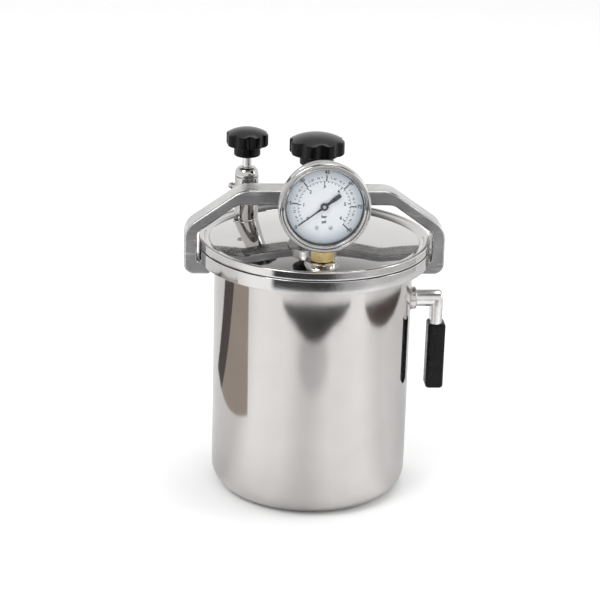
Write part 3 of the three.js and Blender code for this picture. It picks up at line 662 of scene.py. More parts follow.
# ---- pot
def pot_wall():
    inner = POT_R - POT_WALL
    outline = profile([
        (0, 0, 0), (POT_R, 0, POT_CORNER_R), (POT_R, RIM_Z, 0.5), (inner, RIM_Z, 0.5),
        (inner, POT_WALL, POT_CORNER_R - POT_WALL), (0, POT_WALL, 0),
    ], steps=14)
    shell = solid("pot_wall", turned(outline, FINE))
    dress(shell, "pot", "polished_steel", pot_steel, "pot_shell")


def pot_flange():
    """Flange with a groove, and the gasket that lies in it."""
    inner = POT_R + GAP
    gasket_inner = gasket_high.x - GASKET_WIDTH
    groove_in = gasket_inner - GAP
    groove_out = gasket_high.x + GAP
    groove_z = gasket_low.z - GAP
    outline = rounded([
        (inner, FLANGE_BOTTOM, 0.5), (FLANGE_R, FLANGE_BOTTOM, 1.2), (FLANGE_R, RIM_Z, 0.5),
        (groove_out, RIM_Z, 0.3), (groove_out, groove_z, 0), (groove_in, groove_z, 0),
        (groove_in, RIM_Z, 0.3), (inner, RIM_Z, 0.3),
    ])
    flange = solid("pot_flange", turned(outline, FINE))
    dress(flange, "pot", "polished_steel", lid_steel, "flange_ring")
    outline = ring(gasket_inner, gasket_high.x, gasket_low.z, gasket_high.z, (0.4, 0.4, 0.6, 0.6))
    gasket = solid("flange_gasket", turned(outline, FINE))
    dress(gasket, "pot", "silicone", silicone, "rim_gasket")


def wall_weld():
    """Weld between the pot's wall and the flange's underside."""
    centre = Vector((0, 0, FLANGE_BOTTOM - 0.2))
    path = [centre + point.to_3d() for point in circle(POT_R + 0.5, 420)]
    weld("flange_weld", "pot", centre, path, 0.9, 0.06)


# ---- handle
def on_wall(angle, r, height):
    """Puts the points of a handle piece that are left at height 0 on the pot's wall."""
    if height > 0:
        return r, height
    return r, math.sqrt((POT_R + GAP) ** 2 - (r * math.sin(angle)) ** 2)


def handle_arm():
    """Round bar that stands out from the wall, with a flattened tang hanging from its end."""
    end = arm_high.x
    bar = profile([(HANDLE_R, 0, 0), (HANDLE_R, end, 2.6), (0, end, 0)], steps=10)
    arm = solid("handle_bar", turned([(0, 0), *bar], MEDIUM, on_wall), ON_HANDLE)

    def flattened(angle, radius, height):
        sideways = abs(math.cos(angle))
        return min(radius, TANG_HALF_X / max(sideways, 0.01)), height

    foot = arm_low.z
    tang = [
        (0, foot), (TANG_HALF_Y - 0.9, foot), (TANG_HALF_Y, foot + 1), (TANG_HALF_Y + 0.2, HANDLE_Z - 6),
        (TANG_HALF_Y - 0.2, HANDLE_Z), (0, HANDLE_Z),
    ]
    combine(arm, solid("tang", turned(tang, MEDIUM, flattened), AT_TANG), "UNION")
    dress(arm, "pot", "satin_steel", arm_steel, "handle_arm")


def handle_collar():
    inner = HANDLE_R + GAP
    outer = (collar_high.z - collar_low.z) / 2
    end = collar_high.x
    rim = profile([(outer, POT_R, 0), (outer, end, 1.2), (inner, end, 0)])
    outline = [(inner, 0), (outer, 0), *rim[1:]]
    collar = solid("handle_collar_ring", turned(outline, MEDIUM, on_wall), ON_HANDLE)
    dress(collar, "pot", "polished_steel", fitting_steel, "handle_collar")
    path = []
    for point in circle(outer + 0.1, 120):
        x = math.sqrt((POT_R + GAP) ** 2 - point.y**2)
        path.append(Vector((x, point.y, HANDLE_Z + point.x)))
    weld("collar_weld", "pot", Vector((POT_R, 0, HANDLE_Z)), path, 0.75, 0.08)


def handle_grip():
    """Moulding with a slot from above for the tang and a hole from below for its screw."""
    half_x = (grip_high.x - grip_low.x) / 2
    half_y = (grip_high.y - grip_low.y) / 2
    place = Matrix.Translation(((grip_high.x + grip_low.x) / 2, 0, 0))
    outline = rectangle(half_x, half_y, 3.4, steps=8)
    grip = solid("grip", slab(outline, grip_low.z, grip_high.z, 2.4, 7), place)
    slot = rectangle(TANG_HALF_X + GAP, TANG_HALF_Y + GAP, 0.6)
    combine(grip, solid("slot", slab(slot, arm_low.z - GAP, grip_high.z + EXTRA), AT_TANG))
    screw_hole_r = 2.6
    drill(grip, screw_hole_r, grip_low.z - EXTRA, arm_low.z, AT_TANG)
    dress(grip, "pot", "grip_plastic", grip_plastic, "handle_grip")


# ---- clamp
def yoke():
    """Cast bar with sloping shoulders, legs with hooks and a round boss for the screw."""
    top = yoke_high.z
    foot = yoke_low.z
    leg = yoke_high.x
    leg_inner = leg - 10.2
    hook = 83.5
    hook_top = FLANGE_BOTTOM - GAP
    right = [
        (62, top - 12, 14), (leg_inner, top - 35.6, 2.2), (leg_inner, hook_top, 1.6), (hook, hook_top, 2.2),
        (hook, foot, 2.4), (leg, foot, 8), (leg, top - 31.5, 17), (60, top, 22),
    ]
    left = [(-x, z, radius) for x, z, radius in reversed(right)]
    outline = rounded(right + left, steps=10)
    upright = Matrix.Rotation(math.pi / 2, 4, "X")
    bar = solid("yoke", slab(outline, -YOKE_HALF, YOKE_HALF, 1.9, 6), upright)
    boss_bottom = bush_low.z
    boss = disc(yoke_high.y, boss_bottom, top, 1.6, 1.6)
    combine(bar, solid("boss", turned(boss, MEDIUM)), "UNION")
    drill(bar, bush_high.x + GAP, boss_bottom - EXTRA, top + EXTRA, sides=MEDIUM)
    dress(bar, "clamp", "cast_aluminium", aluminium, "yoke_bar")


def screw_bush():
    outline = ring(SCREW_R + GAP, bush_high.x, bush_low.z, bush_high.z, (0.3, 0.5, 0.9, 0.6))
    dress(solid("screw_bush", turned(outline, MEDIUM)), "clamp", "satin_steel", satin_steel, "yoke_bush")


# ---- lid
def lid():
    """Dome with a step and a rolled rim, and a hole for each fitting that stands on it."""
    bead_r = 2.4
    corner = 1.0
    crest = [(LID_R - bead_r + p.x, LID_CREST_Z - bead_r + p.y) for p in arc(bead_r, 150, 90, 6)]
    crest += [(LID_R - corner + p.x, LID_CREST_Z - corner + p.y) for p in arc(corner, 90, 0, 6)]
    edge = [
        (LID_R, LID_BOTTOM + 1.3), (LID_R, LID_BOTTOM + 0.9), (LID_R - 0.3, LID_BOTTOM + 0.25),
        (LID_R - 0.9, LID_BOTTOM),
    ]
    step = [
        (DOME_EDGE_R + 0.35, DOME_EDGE_Z - 0.5), (DOME_EDGE_R + 0.9, DOME_EDGE_Z - 0.85),
        (DOME_EDGE_R + 2.6, DOME_EDGE_Z - 0.3), (DOME_EDGE_R + 3.4, DOME_EDGE_Z),
    ]
    seat_r = 80.5
    under = dome_line(seat_r - 1.5, LID_SHEET, 24)
    outer = [*dome_line(DOME_EDGE_R, 0, 44), *step, *crest, *edge, (seat_r, LID_BOTTOM)]
    shell = solid("lid_dome", turned([*under, *reversed(outer)], FINE))
    for spigot, place in ((BOSS_SPIGOT_R, AT_STEM), (VALVE_SPIGOT_R, AT_VALVE)):
        drill(shell, spigot + GAP, LID_BOTTOM - EXTRA, DOME_TOP + EXTRA, place)
    dress(shell, "lid", "polished_steel", lid_steel, "lid_shell")


def screw_cup():
    """Cup on the dome that holds the foot of the clamp screw, with the ring that keeps it in."""
    radius = cup_high.x
    top = cup_high.z
    bore = retainer_high.x + GAP
    floor = screw_low.z - GAP
    base = [(x, z + GAP) for x, z in dome_line(radius, 0, 8)]
    wall = profile([
        (radius, floor, 0), (radius, top, 1), (bore, top, 0.5), (bore, floor, 0.6), (0, floor, 0),
    ])
    cup = solid("screw_cup", turned(base + wall[1:], MEDIUM))
    dress(cup, "lid", "satin_steel", satin_steel, "thrust_cup")
    inner = SCREW_NECK_R + GAP
    outline = ring(inner, retainer_high.x, retainer_low.z, retainer_high.z, (0.3, 0.3, 0.5, 0.5))
    retainer = solid("screw_retainer", turned(outline, MEDIUM))
    dress(retainer, "lid", "satin_steel", satin_steel, "foot_retainer")


def lid_fillet(name, x, y, radius, width):
    """Small ground weld where a round piece stands on the dome."""
    path = []
    for point in circle(radius, 120):
        px, py = x + point.x, y + point.y
        path.append(Vector((px, py, dome_z(px, py) + 0.1)))
    centre = Vector((x, y, dome_z(x, y)))
    weld(name, "lid", centre, path, width, 0.04)


def on_dome(x, y, ceiling):
    """Puts the points of a turned piece that are left at height 0 on the dome, under a ceiling."""
    def place(angle, r, height):
        if height > 0:
            return r, height
        px, py = x + r * math.cos(angle), y + r * math.sin(angle)
        return r, min(dome_z(px, py) + GAP, ceiling)
    return place


def gauge_boss():
    """Stub on the dome with a spigot through it and a seat for the adapter's washer."""
    low, top = boss_low.z, boss_high.z
    radius = boss_high.x
    bore, seat_r = 3.4, 7.3
    seat_z = top - 1.4
    rim = profile([(radius, low, 0), (radius, top, 0.45), (seat_r, top, 0.3), (seat_r, seat_z, 0)])
    spigot = [(bore, low), (BOSS_SPIGOT_R, low), (BOSS_SPIGOT_R, 0), (radius, 0)]
    outline = [*spigot, *rim[1:], (bore, seat_z)]
    boss = solid("gauge_stub", turned(outline, MEDIUM, on_dome(0, STEM_Y, top - 0.6)), AT_STEM)
    dress(boss, "lid", "polished_steel", fitting_steel, "gauge_boss")


# ---- gauge
def gauge_adapter():
    """Brass hexagon with turned chamfers that the gauge screws into."""
    flat = 8.7
    corner = flat / math.cos(math.pi / 6)
    low, high = boss_high.z + GAP, hex_high.z
    chamfer = [(flat - 0.25 + (corner - flat + 0.5) * k / 8, low + 1.1 * k / 8) for k in range(9)]
    passage, tail_r = 1.8, 3.1
    tail = [(passage, hex_low.z), (tail_r, hex_low.z), (tail_r, low)]
    top = [(r, low + high - z) for r, z in reversed(chamfer)]
    thread_r = SOCKET_THREAD_R + GAP
    thread_end = high - 7.4
    bore = [(thread_r, high), (thread_r, thread_end), (passage, thread_end)]
    shape = polygon_limit(flat, 6, -math.pi / 2)
    adapter = solid("hex_adapter", turned(tail + chamfer + top + bore, 144, shape), AT_STEM)
    dress(adapter, "lid", "brass", brass, "gauge_adapter", sharp=24)


def gauge_socket():
    """Square brass block of the gauge's own entry, on its threaded end."""
    half = (socket_high.x - socket_low.x) / 2
    corner = half * 1.34
    passage = 1.5
    foot = hex_high.z + GAP
    top = socket_high.z
    outline = profile([
        (passage, socket_low.z, 0), (SOCKET_THREAD_R, socket_low.z, 0.4), (SOCKET_THREAD_R, foot, 0),
        (corner, foot, 0.9), (corner, top, 0.9), (passage, top, 0),
    ])
    shape = polygon_limit(half, 4, math.pi / 4)
    socket = solid("gauge_entry", turned(outline, MEDIUM, shape), AT_STEM)
    dress(socket, "lid", "brass", brass, "gauge_socket", sharp=24)


def gauge_case():
    radius = case_high.x
    back, front = depths("gauge_case")
    wall = 1.2
    outline = profile([
        (0, back, 0), (radius, back, 2.8), (radius, front, 0.2), (radius - wall, front, 0.2),
        (radius - wall, back + wall, 1.6), (0, back + wall, 0),
    ])
    case = solid("gauge_can", turned(outline, 128), ON_GAUGE)
    half = socket_high.x + GAP
    low = case_low.z - EXTRA
    combine(case, solid("window", slab(rectangle(half, half, 0.8), low, low + 10), AT_STEM))
    dress(case, "lid", "satin_steel", case_steel, "gauge_case")


def gauge_bezel():
    """Rolled ring that holds the glass, with thin lines turned in its face and its side."""
    back, face = depths("gauge_bezel")
    inner, outer = case_high.x + GAP, bezel_high.x
    window = 30
    groove = 32.2
    outline = rounded([
        (inner, back, 0.2), (outer, back, 0.7), (outer, back + 2, 0.15), (outer - 0.45, back + 2.3, 0.15),
        (outer - 0.45, back + 2.8, 0.15), (outer, back + 3.1, 0.15), (outer, face - 1.1, 1.7),
        (outer - 1.6, face, 1.5), (groove + 0.5, face - 0.6, 0.4), (groove + 0.2, face - 1.5, 0.1),
        (groove - 0.2, face - 1.5, 0.1), (groove - 0.4, face - 0.7, 0.4),
        (window + 0.5, face - 1.0, 0.6), (window, face - 2.2, 0.1), (inner, face - 2.2, 0),
    ])
    bezel = solid("bezel", turned(outline, 160), ON_GAUGE)
    dress(bezel, "lid", "polished_steel", bezel_steel, "gauge_bezel")
    outline = ring(window - 0.9, case_high.x, *depths("lens_gasket"), (0.3, 0.2, 0.2, 0.3))
    seal = solid("lens_seal", turned(outline, 128), ON_GAUGE)
    dress(seal, "lid", "black_rubber", rubber_black, "lens_gasket")
    outline = disc(lens_high.x, *depths("gauge_lens"), 0.2, 0.2)
    dress(solid("lens", turned(outline, 128), ON_GAUGE), "lid", "clear_glass", glass, "gauge_lens")


def flat_bar(low, high, width, direction):
    """A thin bar on the dial, from one radius to another."""
    turn = Matrix.Rotation(math.radians(direction), 4, "Z")
    place = turn @ Matrix.Translation(((low + high) / 2, 0, 0))
    outline = rectangle((high - low) / 2, width / 2)
    return moved(slab(outline, PRINT_DEPTH, PRINT_DEPTH + PRINT_THICK), place)


def flat_arc(radius, width, start, end):
    outer = arc(radius + width / 2, start, end, 96)
    inner = arc(radius - width / 2, end, start, 96)
    return slab(outer + inner, PRINT_DEPTH, PRINT_DEPTH + PRINT_THICK)


def lettering(text, size, x, y):
    """Raised print centred on a point of the dial."""
    curve = bpy.data.curves.new("lettering", "FONT")
    curve.body = text
    curve.size = size
    curve.extrude = PRINT_THICK / 2
    curve.offset = 0.12
    curve.resolution_u = 3
    curve.align_x = "CENTER"
    curve.align_y = "CENTER"
    holder = placed("lettering", curve)
    mesh = evaluated(holder)
    middle = Vector((x, y, PRINT_DEPTH + PRINT_THICK / 2))
    verts = [v.co + middle for v in mesh.vertices]
    faces = [tuple(p.vertices) for p in mesh.polygons]
    bpy.data.objects.remove(holder)
    return verts, faces


def dial_direction(share):
    """Direction of a share of the full scale."""
    return POINTER_ZERO - DIAL_SWEEP * share


def scale_marks():
    """Outer scale to 90 and inner scale to 6, with their minor marks, on a thin circle."""
    line_r = 20.1
    marks = [flat_arc(line_r, 0.2, dial_direction(1), dial_direction(0))]
    for k in range(FULL_OUTER + 1):
        direction = dial_direction(k / FULL_OUTER)
        if k % OUTER_STEP == 0:
            marks.append(flat_bar(20.2, 24.8, 0.95, direction))
        elif k % 5 == 0:
            marks.append(flat_bar(22.0, 23.6, 0.6, direction))
        elif k % 3 == 0:
            marks.append(flat_bar(22.4, 23.6, 0.6, direction))
    for k in range(31):
        direction = dial_direction(k / 5 / FULL_INNER)
        low, width = (17.9, 0.7) if k % 5 == 0 else (18.8, 0.5)
        marks.append(flat_bar(low, line_r, width, direction))
    return marks


def scale_numbers():
    numbers = [lettering("bar", 3.2, 0, -8.2), lettering("psi", 3.2, 0, -12.2)]
    for k in range(7):
        outer = OUTER_STEP * k
        for value, full, size, radius in ((outer, FULL_OUTER, 4.0, 27.0), (k, FULL_INNER, 3.6, 15.8)):
            angle = math.radians(dial_direction(value / full))
            numbers.append(lettering(str(value), size, radius * math.cos(angle), radius * math.sin(angle)))
    return numbers


def gauge_dial():
    outline = ring(1.6, dial_high.x, *depths("gauge_dial"), (0, 0.2, 0.3, 0.1), steps=4)
    plate = solid("dial_plate", turned(outline, 128), ON_GAUGE)
    dress(plate, "lid", "white_dial", dial_white, "gauge_dial")
    marks = solid("dial_marks", joined(*scale_marks(), *scale_numbers()), ON_GAUGE)
    dress(marks, "lid", "black_paint", print_black)
    dial_screw("dial_screw_left", -35)
    dial_screw("dial_screw_right", 35)


def dial_screw(node, slot_angle):
    """Cheese-head screw with a slot across it."""
    low, high = extent(node)
    back, front = depths(node)
    radius = (high.x - low.x) / 2
    place = ON_GAUGE @ Matrix.Translation(((low.x + high.x) / 2, (low.z + high.z) / 2 - GAUGE_Z, 0))
    screw = solid(node + "_head", turned(disc(radius, back, front, 0.1, 0.55), SMALL), place)
    tilt = Matrix.Rotation(math.radians(slot_angle), 4, "Z")
    groove = slab(rectangle(2, 0.22), front - 0.4, front + EXTRA)
    combine(screw, solid("groove", groove, place @ tilt))
    dress(screw, "lid", "satin_steel", satin_steel, node)


def gauge_pointer():
    """Tapered hand with a broad tail, on a hub with a small cap."""
    low, high = depths("gauge_pointer")
    middle = (low + high) / 2
    upper = [
        (24.6, 0.22, 0.1), (9, 0.55, 0), (2, 1.0, 0.5), (-6, 1.15, 1), (-9, 1.65, 1), (-15.3, 1.65, 0.9),
    ]
    lower = [(x, -y, radius) for x, y, radius in reversed(upper)]
    blade = slab(rounded(upper + lower, steps=4), middle - 0.25, middle + 0.3, 0.1, 2)
    turn = Matrix.Rotation(math.radians(POINTER_ZERO), 4, "Z")
    hand = solid("pointer_hand", blade, ON_GAUGE @ turn)
    hub = profile([(0, middle - 0.4, 0), (3.1, middle - 0.4, 0.2), (3.1, high - 0.2, 0.5), (0, high, 0)])
    combine(hand, solid("hub", turned(hub, SMALL), ON_GAUGE), "UNION")
    drill(hand, 1.2, low - EXTRA, middle + 0.2, ON_GAUGE)
    dress(hand, "pointer", "black_paint", pointer_black, "gauge_pointer")
    foot, cap_r = high + 0.02, 1.3
    outline = profile([(0, foot, 0), (cap_r, foot, 0), (cap_r, high + 0.3, 0.25), (0, high + 0.35, 0)])
    cap = solid("pointer_cap", turned(outline, SMALL), ON_GAUGE)
    dress(cap, "pointer", "brass", satin_steel)


# ---- release valve
def valve_barrel():
    """Barrel with a spigot through the dome, a chamber for the bonnet and a hole for the outlet."""
    low, top = body_low.z, body_high.z
    bore = 3
    floor = low + 24.5
    wall = profile([
        (VALVE_R, low, 0), (VALVE_R, top, 0.35), (VALVE_CHAMBER_R, top, 0.3), (VALVE_CHAMBER_R, floor, 0),
        (bore, floor, 0),
    ])
    outline = [(bore, low), (VALVE_SPIGOT_R, low), (VALVE_SPIGOT_R, 0), (VALVE_R, 0), *wall[1:]]
    barrel = solid("valve_barrel", turned(outline, MEDIUM, on_dome(VALVE_X, VALVE_Y, top)), AT_VALVE)
    drill(barrel, NOZZLE_R + GAP, 2, VALVE_R + EXTRA, ON_NOZZLE)
    dress(barrel, "lid", "polished_steel", fitting_steel, "valve_body")


def valve_outlet():
    """Stub with a waist for a hose."""
    bore, waist = 1.3, 2.35
    inner, outer = VALVE_CHAMBER_R + 0.6, VALVE_R + 6
    outline = rounded([
        (bore, inner, 0), (NOZZLE_R, inner, 0), (NOZZLE_R, VALVE_R + 1.2, 0.2), (waist, VALVE_R + 1.8, 0.2),
        (waist, outer - 3.2, 0.2), (NOZZLE_R, outer - 2.6, 0.25), (2.2, outer, 0.2), (bore, outer, 0.1),
    ])
    stub = solid("valve_stub", turned(outline, SMALL), ON_NOZZLE)
    dress(stub, "lid", "polished_steel", fitting_steel, "valve_nozzle")


def valve_cap():
    """Domed bonnet that screws into the barrel and holds the packing."""
    bore = (stem_high.x - stem_low.x) / 2 + GAP
    plug = VALVE_CHAMBER_R - GAP
    base = body_high.z + GAP
    skirt = base + 1.2
    top = bonnet_high.z
    shoulder = bore + 0.9
    lean = 74
    rise = (top - skirt) / math.sin(math.radians(lean))
    crown = [(shoulder + (VALVE_R - shoulder) * p.x, skirt + rise * p.y) for p in arc(1, 0, lean, 14)]
    foot = profile([
        (bore, bonnet_low.z, 0.2), (plug, bonnet_low.z, 0.5), (plug, base, 0), (VALVE_R, base, 0.35),
        (VALVE_R, skirt, 0),
    ])
    outline = [*foot, *crown[1:], (bore + 0.5, top), (bore, top - 0.5)]
    bonnet = solid("valve_crown", turned(outline, MEDIUM), AT_VALVE)
    dress(bonnet, "lid", "polished_steel", fitting_steel, "valve_bonnet")


def valve_spindle():
    radius = (stem_high.x - stem_low.x) / 2
    tip = 2.6
    low, high = stem_low.z, stem_high.z
    outline = profile([
        (0, low, 0), (tip, low, 0.4), (tip, low + 4, 0), (radius, low + 4.6, 0.1), (radius, high, 0.6),
        (0, high, 0),
    ])
    rod = solid("valve_rod", turned(outline, SMALL), AT_VALVE)
    dress(rod, "valve_spindle", "satin_steel", rod_steel, "valve_stem")


# ---- knobs and screw
def lobed(radius, depth, softness):
    """Keeps a turned point inside eight lobes, with the edges of the valleys rounded."""
    lobes = 8
    valley = math.radians(-85)

    def limit(angle, r, height):
        notch = (0.5 + 0.5 * math.cos(lobes * (angle - valley))) ** 1.6
        edge = radius - depth * notch
        near = max(softness - abs(r - edge), 0) / softness
        return min(r, edge) - near**2 * softness / 4 * notch**0.4, height

    return limit


def star_knob(name, node, place, bore, hub_r, hub_height, crown_drop):
    """Moulded knob: hub with a soft foot, lobed disc and domed top."""
    low, high = extent(node)
    radius = (high.y - low.y) / 2
    disc_low = low.z + hub_height
    disc_high = high.z - crown_drop
    crown = []
    for k in range(27):
        r = radius * 0.985 * (1 - k / 26) ** 0.7
        crown.append((r, high.z - crown_drop * (r / radius) ** 2.3))
    side = [(radius, disc_low + (disc_high - disc_low) * k / 10) for k in range(3, 9)]
    foot = profile([
        (0, disc_high - 0.5, 0), (bore, disc_high - 0.5, 0), (bore, low.z, 0.3), (hub_r, low.z, 1.6),
        (hub_r, disc_low, 1.4), (radius, disc_low, 2.0), (radius, disc_low + 3, 0),
    ])
    shoulder = [(radius, disc_high - 1.2), (radius - 0.15, disc_high - 0.6)]
    outline = [*foot[:-1], *side, *shoulder, *crown]
    shape = lobed(radius, radius * 0.125, 1.3)
    return solid(name, turned(outline, 280, shape), place)


def knobs():
    sizes = {"bore": 6.5, "hub_r": 13.6, "hub_height": 8.8, "crown_drop": 5.6}
    main = star_knob("clamp_knob", "main_knob", Matrix(), **sizes)
    dress(main, "screw", "black_plastic", knob_plastic, "main_knob", sharp=40)
    sizes = {"bore": 5.2, "hub_r": 10.8, "hub_height": 8.6, "crown_drop": 4.8}
    small = star_knob("release_knob", "valve_knob", AT_VALVE, **sizes)
    dress(small, "valve_spindle", "black_plastic", knob_plastic, "valve_knob", sharp=40)


def screw():
    """Clamp screw: foot disc, neck, threaded length and the shank inside its knob."""
    pitch = 2.0
    depth = 0.62
    length = 32
    low = bush_low.z + 0.5
    high = low + length

    def thread(angle, radius, height):
        if radius < SCREW_R - 0.01 or not low < height < high:
            return radius, height
        phase = (height / pitch - angle / (2 * math.pi)) % 1
        fade = min(1, (height - low) / pitch, (high - height) / pitch)
        return radius - depth * fade * abs(2 * phase - 1) ** 1.3, height

    foot, foot_r = screw_low.z, screw_high.x
    foot_top = retainer_low.z - GAP
    neck_top = cup_high.z + 0.8
    base = profile([
        (0, foot, 0), (foot_r, foot, 1.4), (foot_r, foot_top, 0.5), (SCREW_NECK_R, foot_top, 0.4),
        (SCREW_NECK_R, neck_top, 0.3), (SCREW_R, neck_top + 1.2, 0.2), (SCREW_R, low, 0),
    ])
    rows = round(length / 0.25)
    flank = [(SCREW_R, low + length * k / rows) for k in range(1, rows)]
    shoulder = extent("main_knob")[0].z - 1
    shank_r, top = 4.6, screw_high.z
    end = profile([
        (SCREW_R, high, 0), (SCREW_R, shoulder, 1), (shank_r, shoulder, 0.3), (shank_r, top, 0.6),
        (0, top, 0),
    ])
    spindle = solid("clamp_spindle", turned([*base, *flank, *end], SMALL, thread))
    dress(spindle, "screw", "satin_steel", satin_steel, "clamp_screw")


pot_wall()
pot_flange()
wall_weld()
handle_arm()
handle_collar()
handle_grip()
yoke()
screw_bush()
lid()
screw_cup()
gauge_boss()
lid_fillet("boss_weld", 0, STEM_Y, boss_high.x, 0.7)
lid_fillet("valve_weld", VALVE_X, VALVE_Y, VALVE_R, 0.6)
lid_fillet("cup_weld", 0, 0, cup_high.x, 0.9)
gauge_adapter()
gauge_socket()
gauge_case()
gauge_bezel()
gauge_dial()
gauge_pointer()
valve_barrel()
valve_outlet()
valve_cap()
valve_spindle()
knobs()
screw()
repaint(brass, "movement_plate", "bourdon_tube", "sector_gear", "pointer_arbor", "valve_disc",
        "valve_knob_insert", "main_knob_insert")
repaint(satin_steel, "sector_pin", "grip_screw")
repaint(rubber_black, "valve_packing", "valve_seal")
repaint(silicone, "adapter_seal")


# ---- camera, floor and light
# Lengths in this part are in metres.
FLOOR_HALF = 30
CAMERA_DISTANCE = 1.65
TARGET_HEIGHT = 0.1573
TARGET_LEFT = 0.01002


def camera():
    """A long lens from slightly above, a little to the left of the gauge's own direction."""
    azimuth, elevation, roll = (math.radians(a) for a in (-4.7, 20, 1.65))
    right = Vector((math.cos(azimuth), math.sin(azimuth), 0))
    level_back = Vector((math.sin(azimuth), -math.cos(azimuth), 0))
    back = level_back * math.cos(elevation) + Vector((0, 0, math.sin(elevation)))
    up = back.cross(right)
    level = right * math.cos(roll) + up * math.sin(roll)
    upright = up * math.cos(roll) - right * math.sin(roll)
    target = Vector((0, 0, TARGET_HEIGHT)) - right * TARGET_LEFT
    view = Matrix((level, upright, back)).transposed().to_4x4()
    view.translation = target + back * CAMERA_DISTANCE
    data = bpy.data.cameras.new("camera")
    data.sensor_width = 36
    data.lens = 121.77
    data.clip_end = 50
    holder = placed("camera", data)
    holder.matrix_world = view
    bpy.context.scene.camera = holder


def stage_sheet(name, corners, height, material):
    """A flat sheet with one face, for the floor or a card."""
    mesh = bpy.data.meshes.new(name)
    mesh.from_pydata([(x, y, height) for x, y in corners], [], [tuple(range(len(corners)))])
    mesh.materials.append(material)
    sheet = placed(name, mesh)
    return sheet


def plain(name, tone, rough=0.9):
    """Matt paper or cloth for the stage."""
    paper = Surface(name, Specular_IOR_Level=0.1)
    fibre = paper.noise(30, 2)
    paper.mottled(fibre, shade(tone, 0.99), tone)
    paper.roughness(paper.scaled(fibre, rough - 0.05, rough + 0.05))
    return paper.material


def reflection_card(name, corners, material, height=0.0006):
    """A dark card on the floor that shows only in the metal."""
    card = stage_sheet(name, corners, height, material)
    card.visible_camera = False
    card.visible_diffuse = False
    card.visible_shadow = False
    card.visible_transmission = False


def plain_card(name, corners, tone):
    reflection_card(name, corners, plain(name, tone))


def veil(name, tone, texture, stops, centre=(0, 0), size=(1, 1)):
    """A dark tone whose density follows a gradient texture round a centre."""
    paint = Surface(name, Base_Color=(*tone, 1), Roughness=1)
    mapping = paint.node("ShaderNodeMapping")
    mapping.vector_type = "TEXTURE"
    mapping.inputs["Location"].default_value = (*centre, 0)
    mapping.inputs["Scale"].default_value = (*size, 1)
    paint.link(paint.place, mapping.inputs["Vector"])
    gradient = paint.node("ShaderNodeTexGradient")
    gradient.gradient_type = texture
    paint.link(mapping.outputs["Vector"], gradient.inputs["Vector"])
    ramp = paint.node("ShaderNodeValToRGB")
    ramp.color_ramp.interpolation = "EASE"
    for _ in stops[2:]:
        ramp.color_ramp.elements.new(0.5)
    for element, (place, density) in zip(ramp.color_ramp.elements, stops):
        element.position = place
        element.color = (density, density, density, 1)
    paint.link(gradient.outputs["Fac"], ramp.inputs["Fac"])
    paint.link(ramp.outputs["Color"], paint.shader.inputs["Alpha"])
    return paint.material


def add_light(name, kind, power):
    light = placed(name, bpy.data.lights.new(name, kind))
    light.data.energy = power
    return light


def soft_light(name, place, target, size, power):
    light = add_light(name, "AREA", power)
    light.data.shape = "RECTANGLE"
    light.data.size, light.data.size_y = size
    aim = (Vector(target) - Vector(place)).to_track_quat("-Z", "Y")
    light.matrix_world = Matrix.Translation(place) @ aim.to_matrix().to_4x4()


def light_tent():
    """White walls all round, darker overhead."""
    world = bpy.data.worlds.new("studio")
    world.use_nodes = True
    nodes = world.node_tree.nodes
    links = world.node_tree.links
    direction = nodes.new("ShaderNodeSeparateXYZ")
    links.new(nodes.new("ShaderNodeTexCoord").outputs["Generated"], direction.inputs[0])
    fade = nodes.new("ShaderNodeMapRange")
    fade.interpolation_type = "SMOOTHSTEP"
    limits = {"From Min": 0.42, "From Max": 0.8, "To Min": 1.0, "To Max": 0.2}
    for socket, value in limits.items():
        fade.inputs[socket].default_value = value
    links.new(direction.outputs["Z"], fade.inputs["Value"])
    nodes["Background"].inputs["Color"].default_value = (1, 1, 1, 1)
    links.new(fade.outputs[0], nodes["Background"].inputs["Strength"])
    bpy.context.scene.world = world


def overhead_sun():
    """Even, very soft light from above that only matt surfaces show."""
    light = add_light("overhead", "SUN", 1.4)
    light.data.angle = math.radians(110)
    light.visible_glossy = False


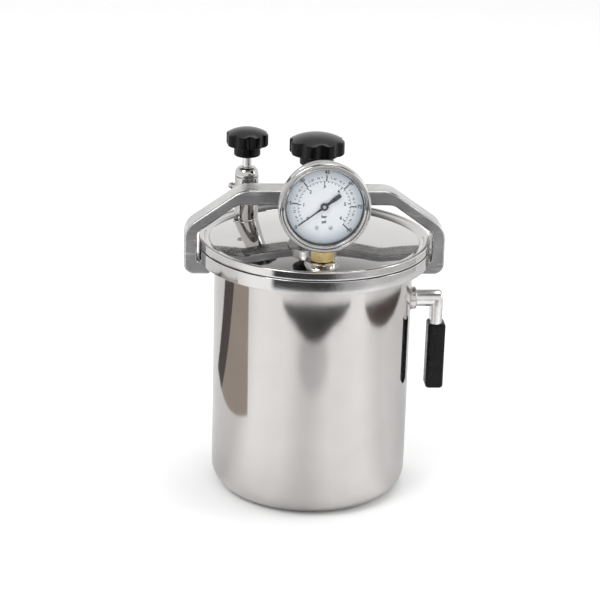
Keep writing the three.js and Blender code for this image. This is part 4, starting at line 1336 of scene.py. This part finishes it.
def dark_cards():
    """Cards round the pot, whose reflections give its wall and fittings their dark shapes."""
    front_near = [(-0.2, -0.475), (-0.02, -0.468), (0.16, -0.485)]
    plain_card("front_card", front_near + arc(0.577, -52, -128), (0.02, 0.018, 0.018))
    far_stops = [(0.125, 0), (0.14, 1), (0.27, 1), (0.33, 0.6), (0.4, 0.4), (0.5, 0.3)]
    far_side = veil("far_card", (0.02, 0.02, 0.022), "RADIAL", far_stops)
    inner, outer = 0.632, 0.95
    reflection_card("far_card", arc(inner, -140, 20) + arc(outer, 20, -140), far_side)
    left = [(-0.24, -0.085), (-0.62, -0.12), (-0.62, 0.12), (-0.235, 0.12)]
    plain_card("left_card", left, (0.33, 0.285, 0.25))
    left_back = [(-0.235, 0.12), (-0.62, 0.12), (-0.52, 0.30), (-0.23, 0.2)]
    plain_card("left_back_card", left_back, (0.08, 0.07, 0.066))
    right_near = [(0.485, 0.0), (0.44, -0.24), (0.44, -0.30)]
    plain_card("right_card", right_near + arc(0.56, -37, 24), (0.045, 0.03, 0.025))


def soft_shades():
    """Two thin shades on the floor, one all round the pot and one in front of it."""
    whole = rectangle(0.9, 0.9)
    all_round = [
        (0, 0.3), (0.08, 0), (0.15, 0.05), (0.23, 0.3), (0.3, 0.08), (0.38, 0), (0.46, 0.25),
        (0.6, 0.4), (0.85, 0.3),
    ]
    shade = veil("floor_shade", (0.1, 0.1, 0.1), "RADIAL", all_round)
    reflection_card("floor_shade", whole, shade, 0.0003)
    fading = [(0, 0), (0.35, 0.3)]
    centre, size = (-0.02, -0.42), (0.2, 0.14)
    spot = veil("front_shade", (0.05, 0.045, 0.045), "QUADRATIC_SPHERE", fading, centre, size)
    reflection_card("front_shade", whole, spot, 0.0009)


def studio():
    stage_sheet("floor", rectangle(FLOOR_HALF, FLOOR_HALF), 0, plain("floor_paper", (0.9, 0.9, 0.9)))
    light_tent()
    overhead_sun()
    target = (0, 0, 0.2)
    soft_light("key", (-1.1, -1.0, 1.9), target, (0.9, 0.9), 16)
    soft_light("top", (0.4, 0.2, 2.1), target, (1.2, 0.8), 12)
    soft_light("side", (1.6, -0.3, 0.9), target, (0.4, 1.0), 4)
    dark_cards()
    soft_shades()


camera()
studio()
bpy.context.scene.view_settings.view_transform = "Standard"
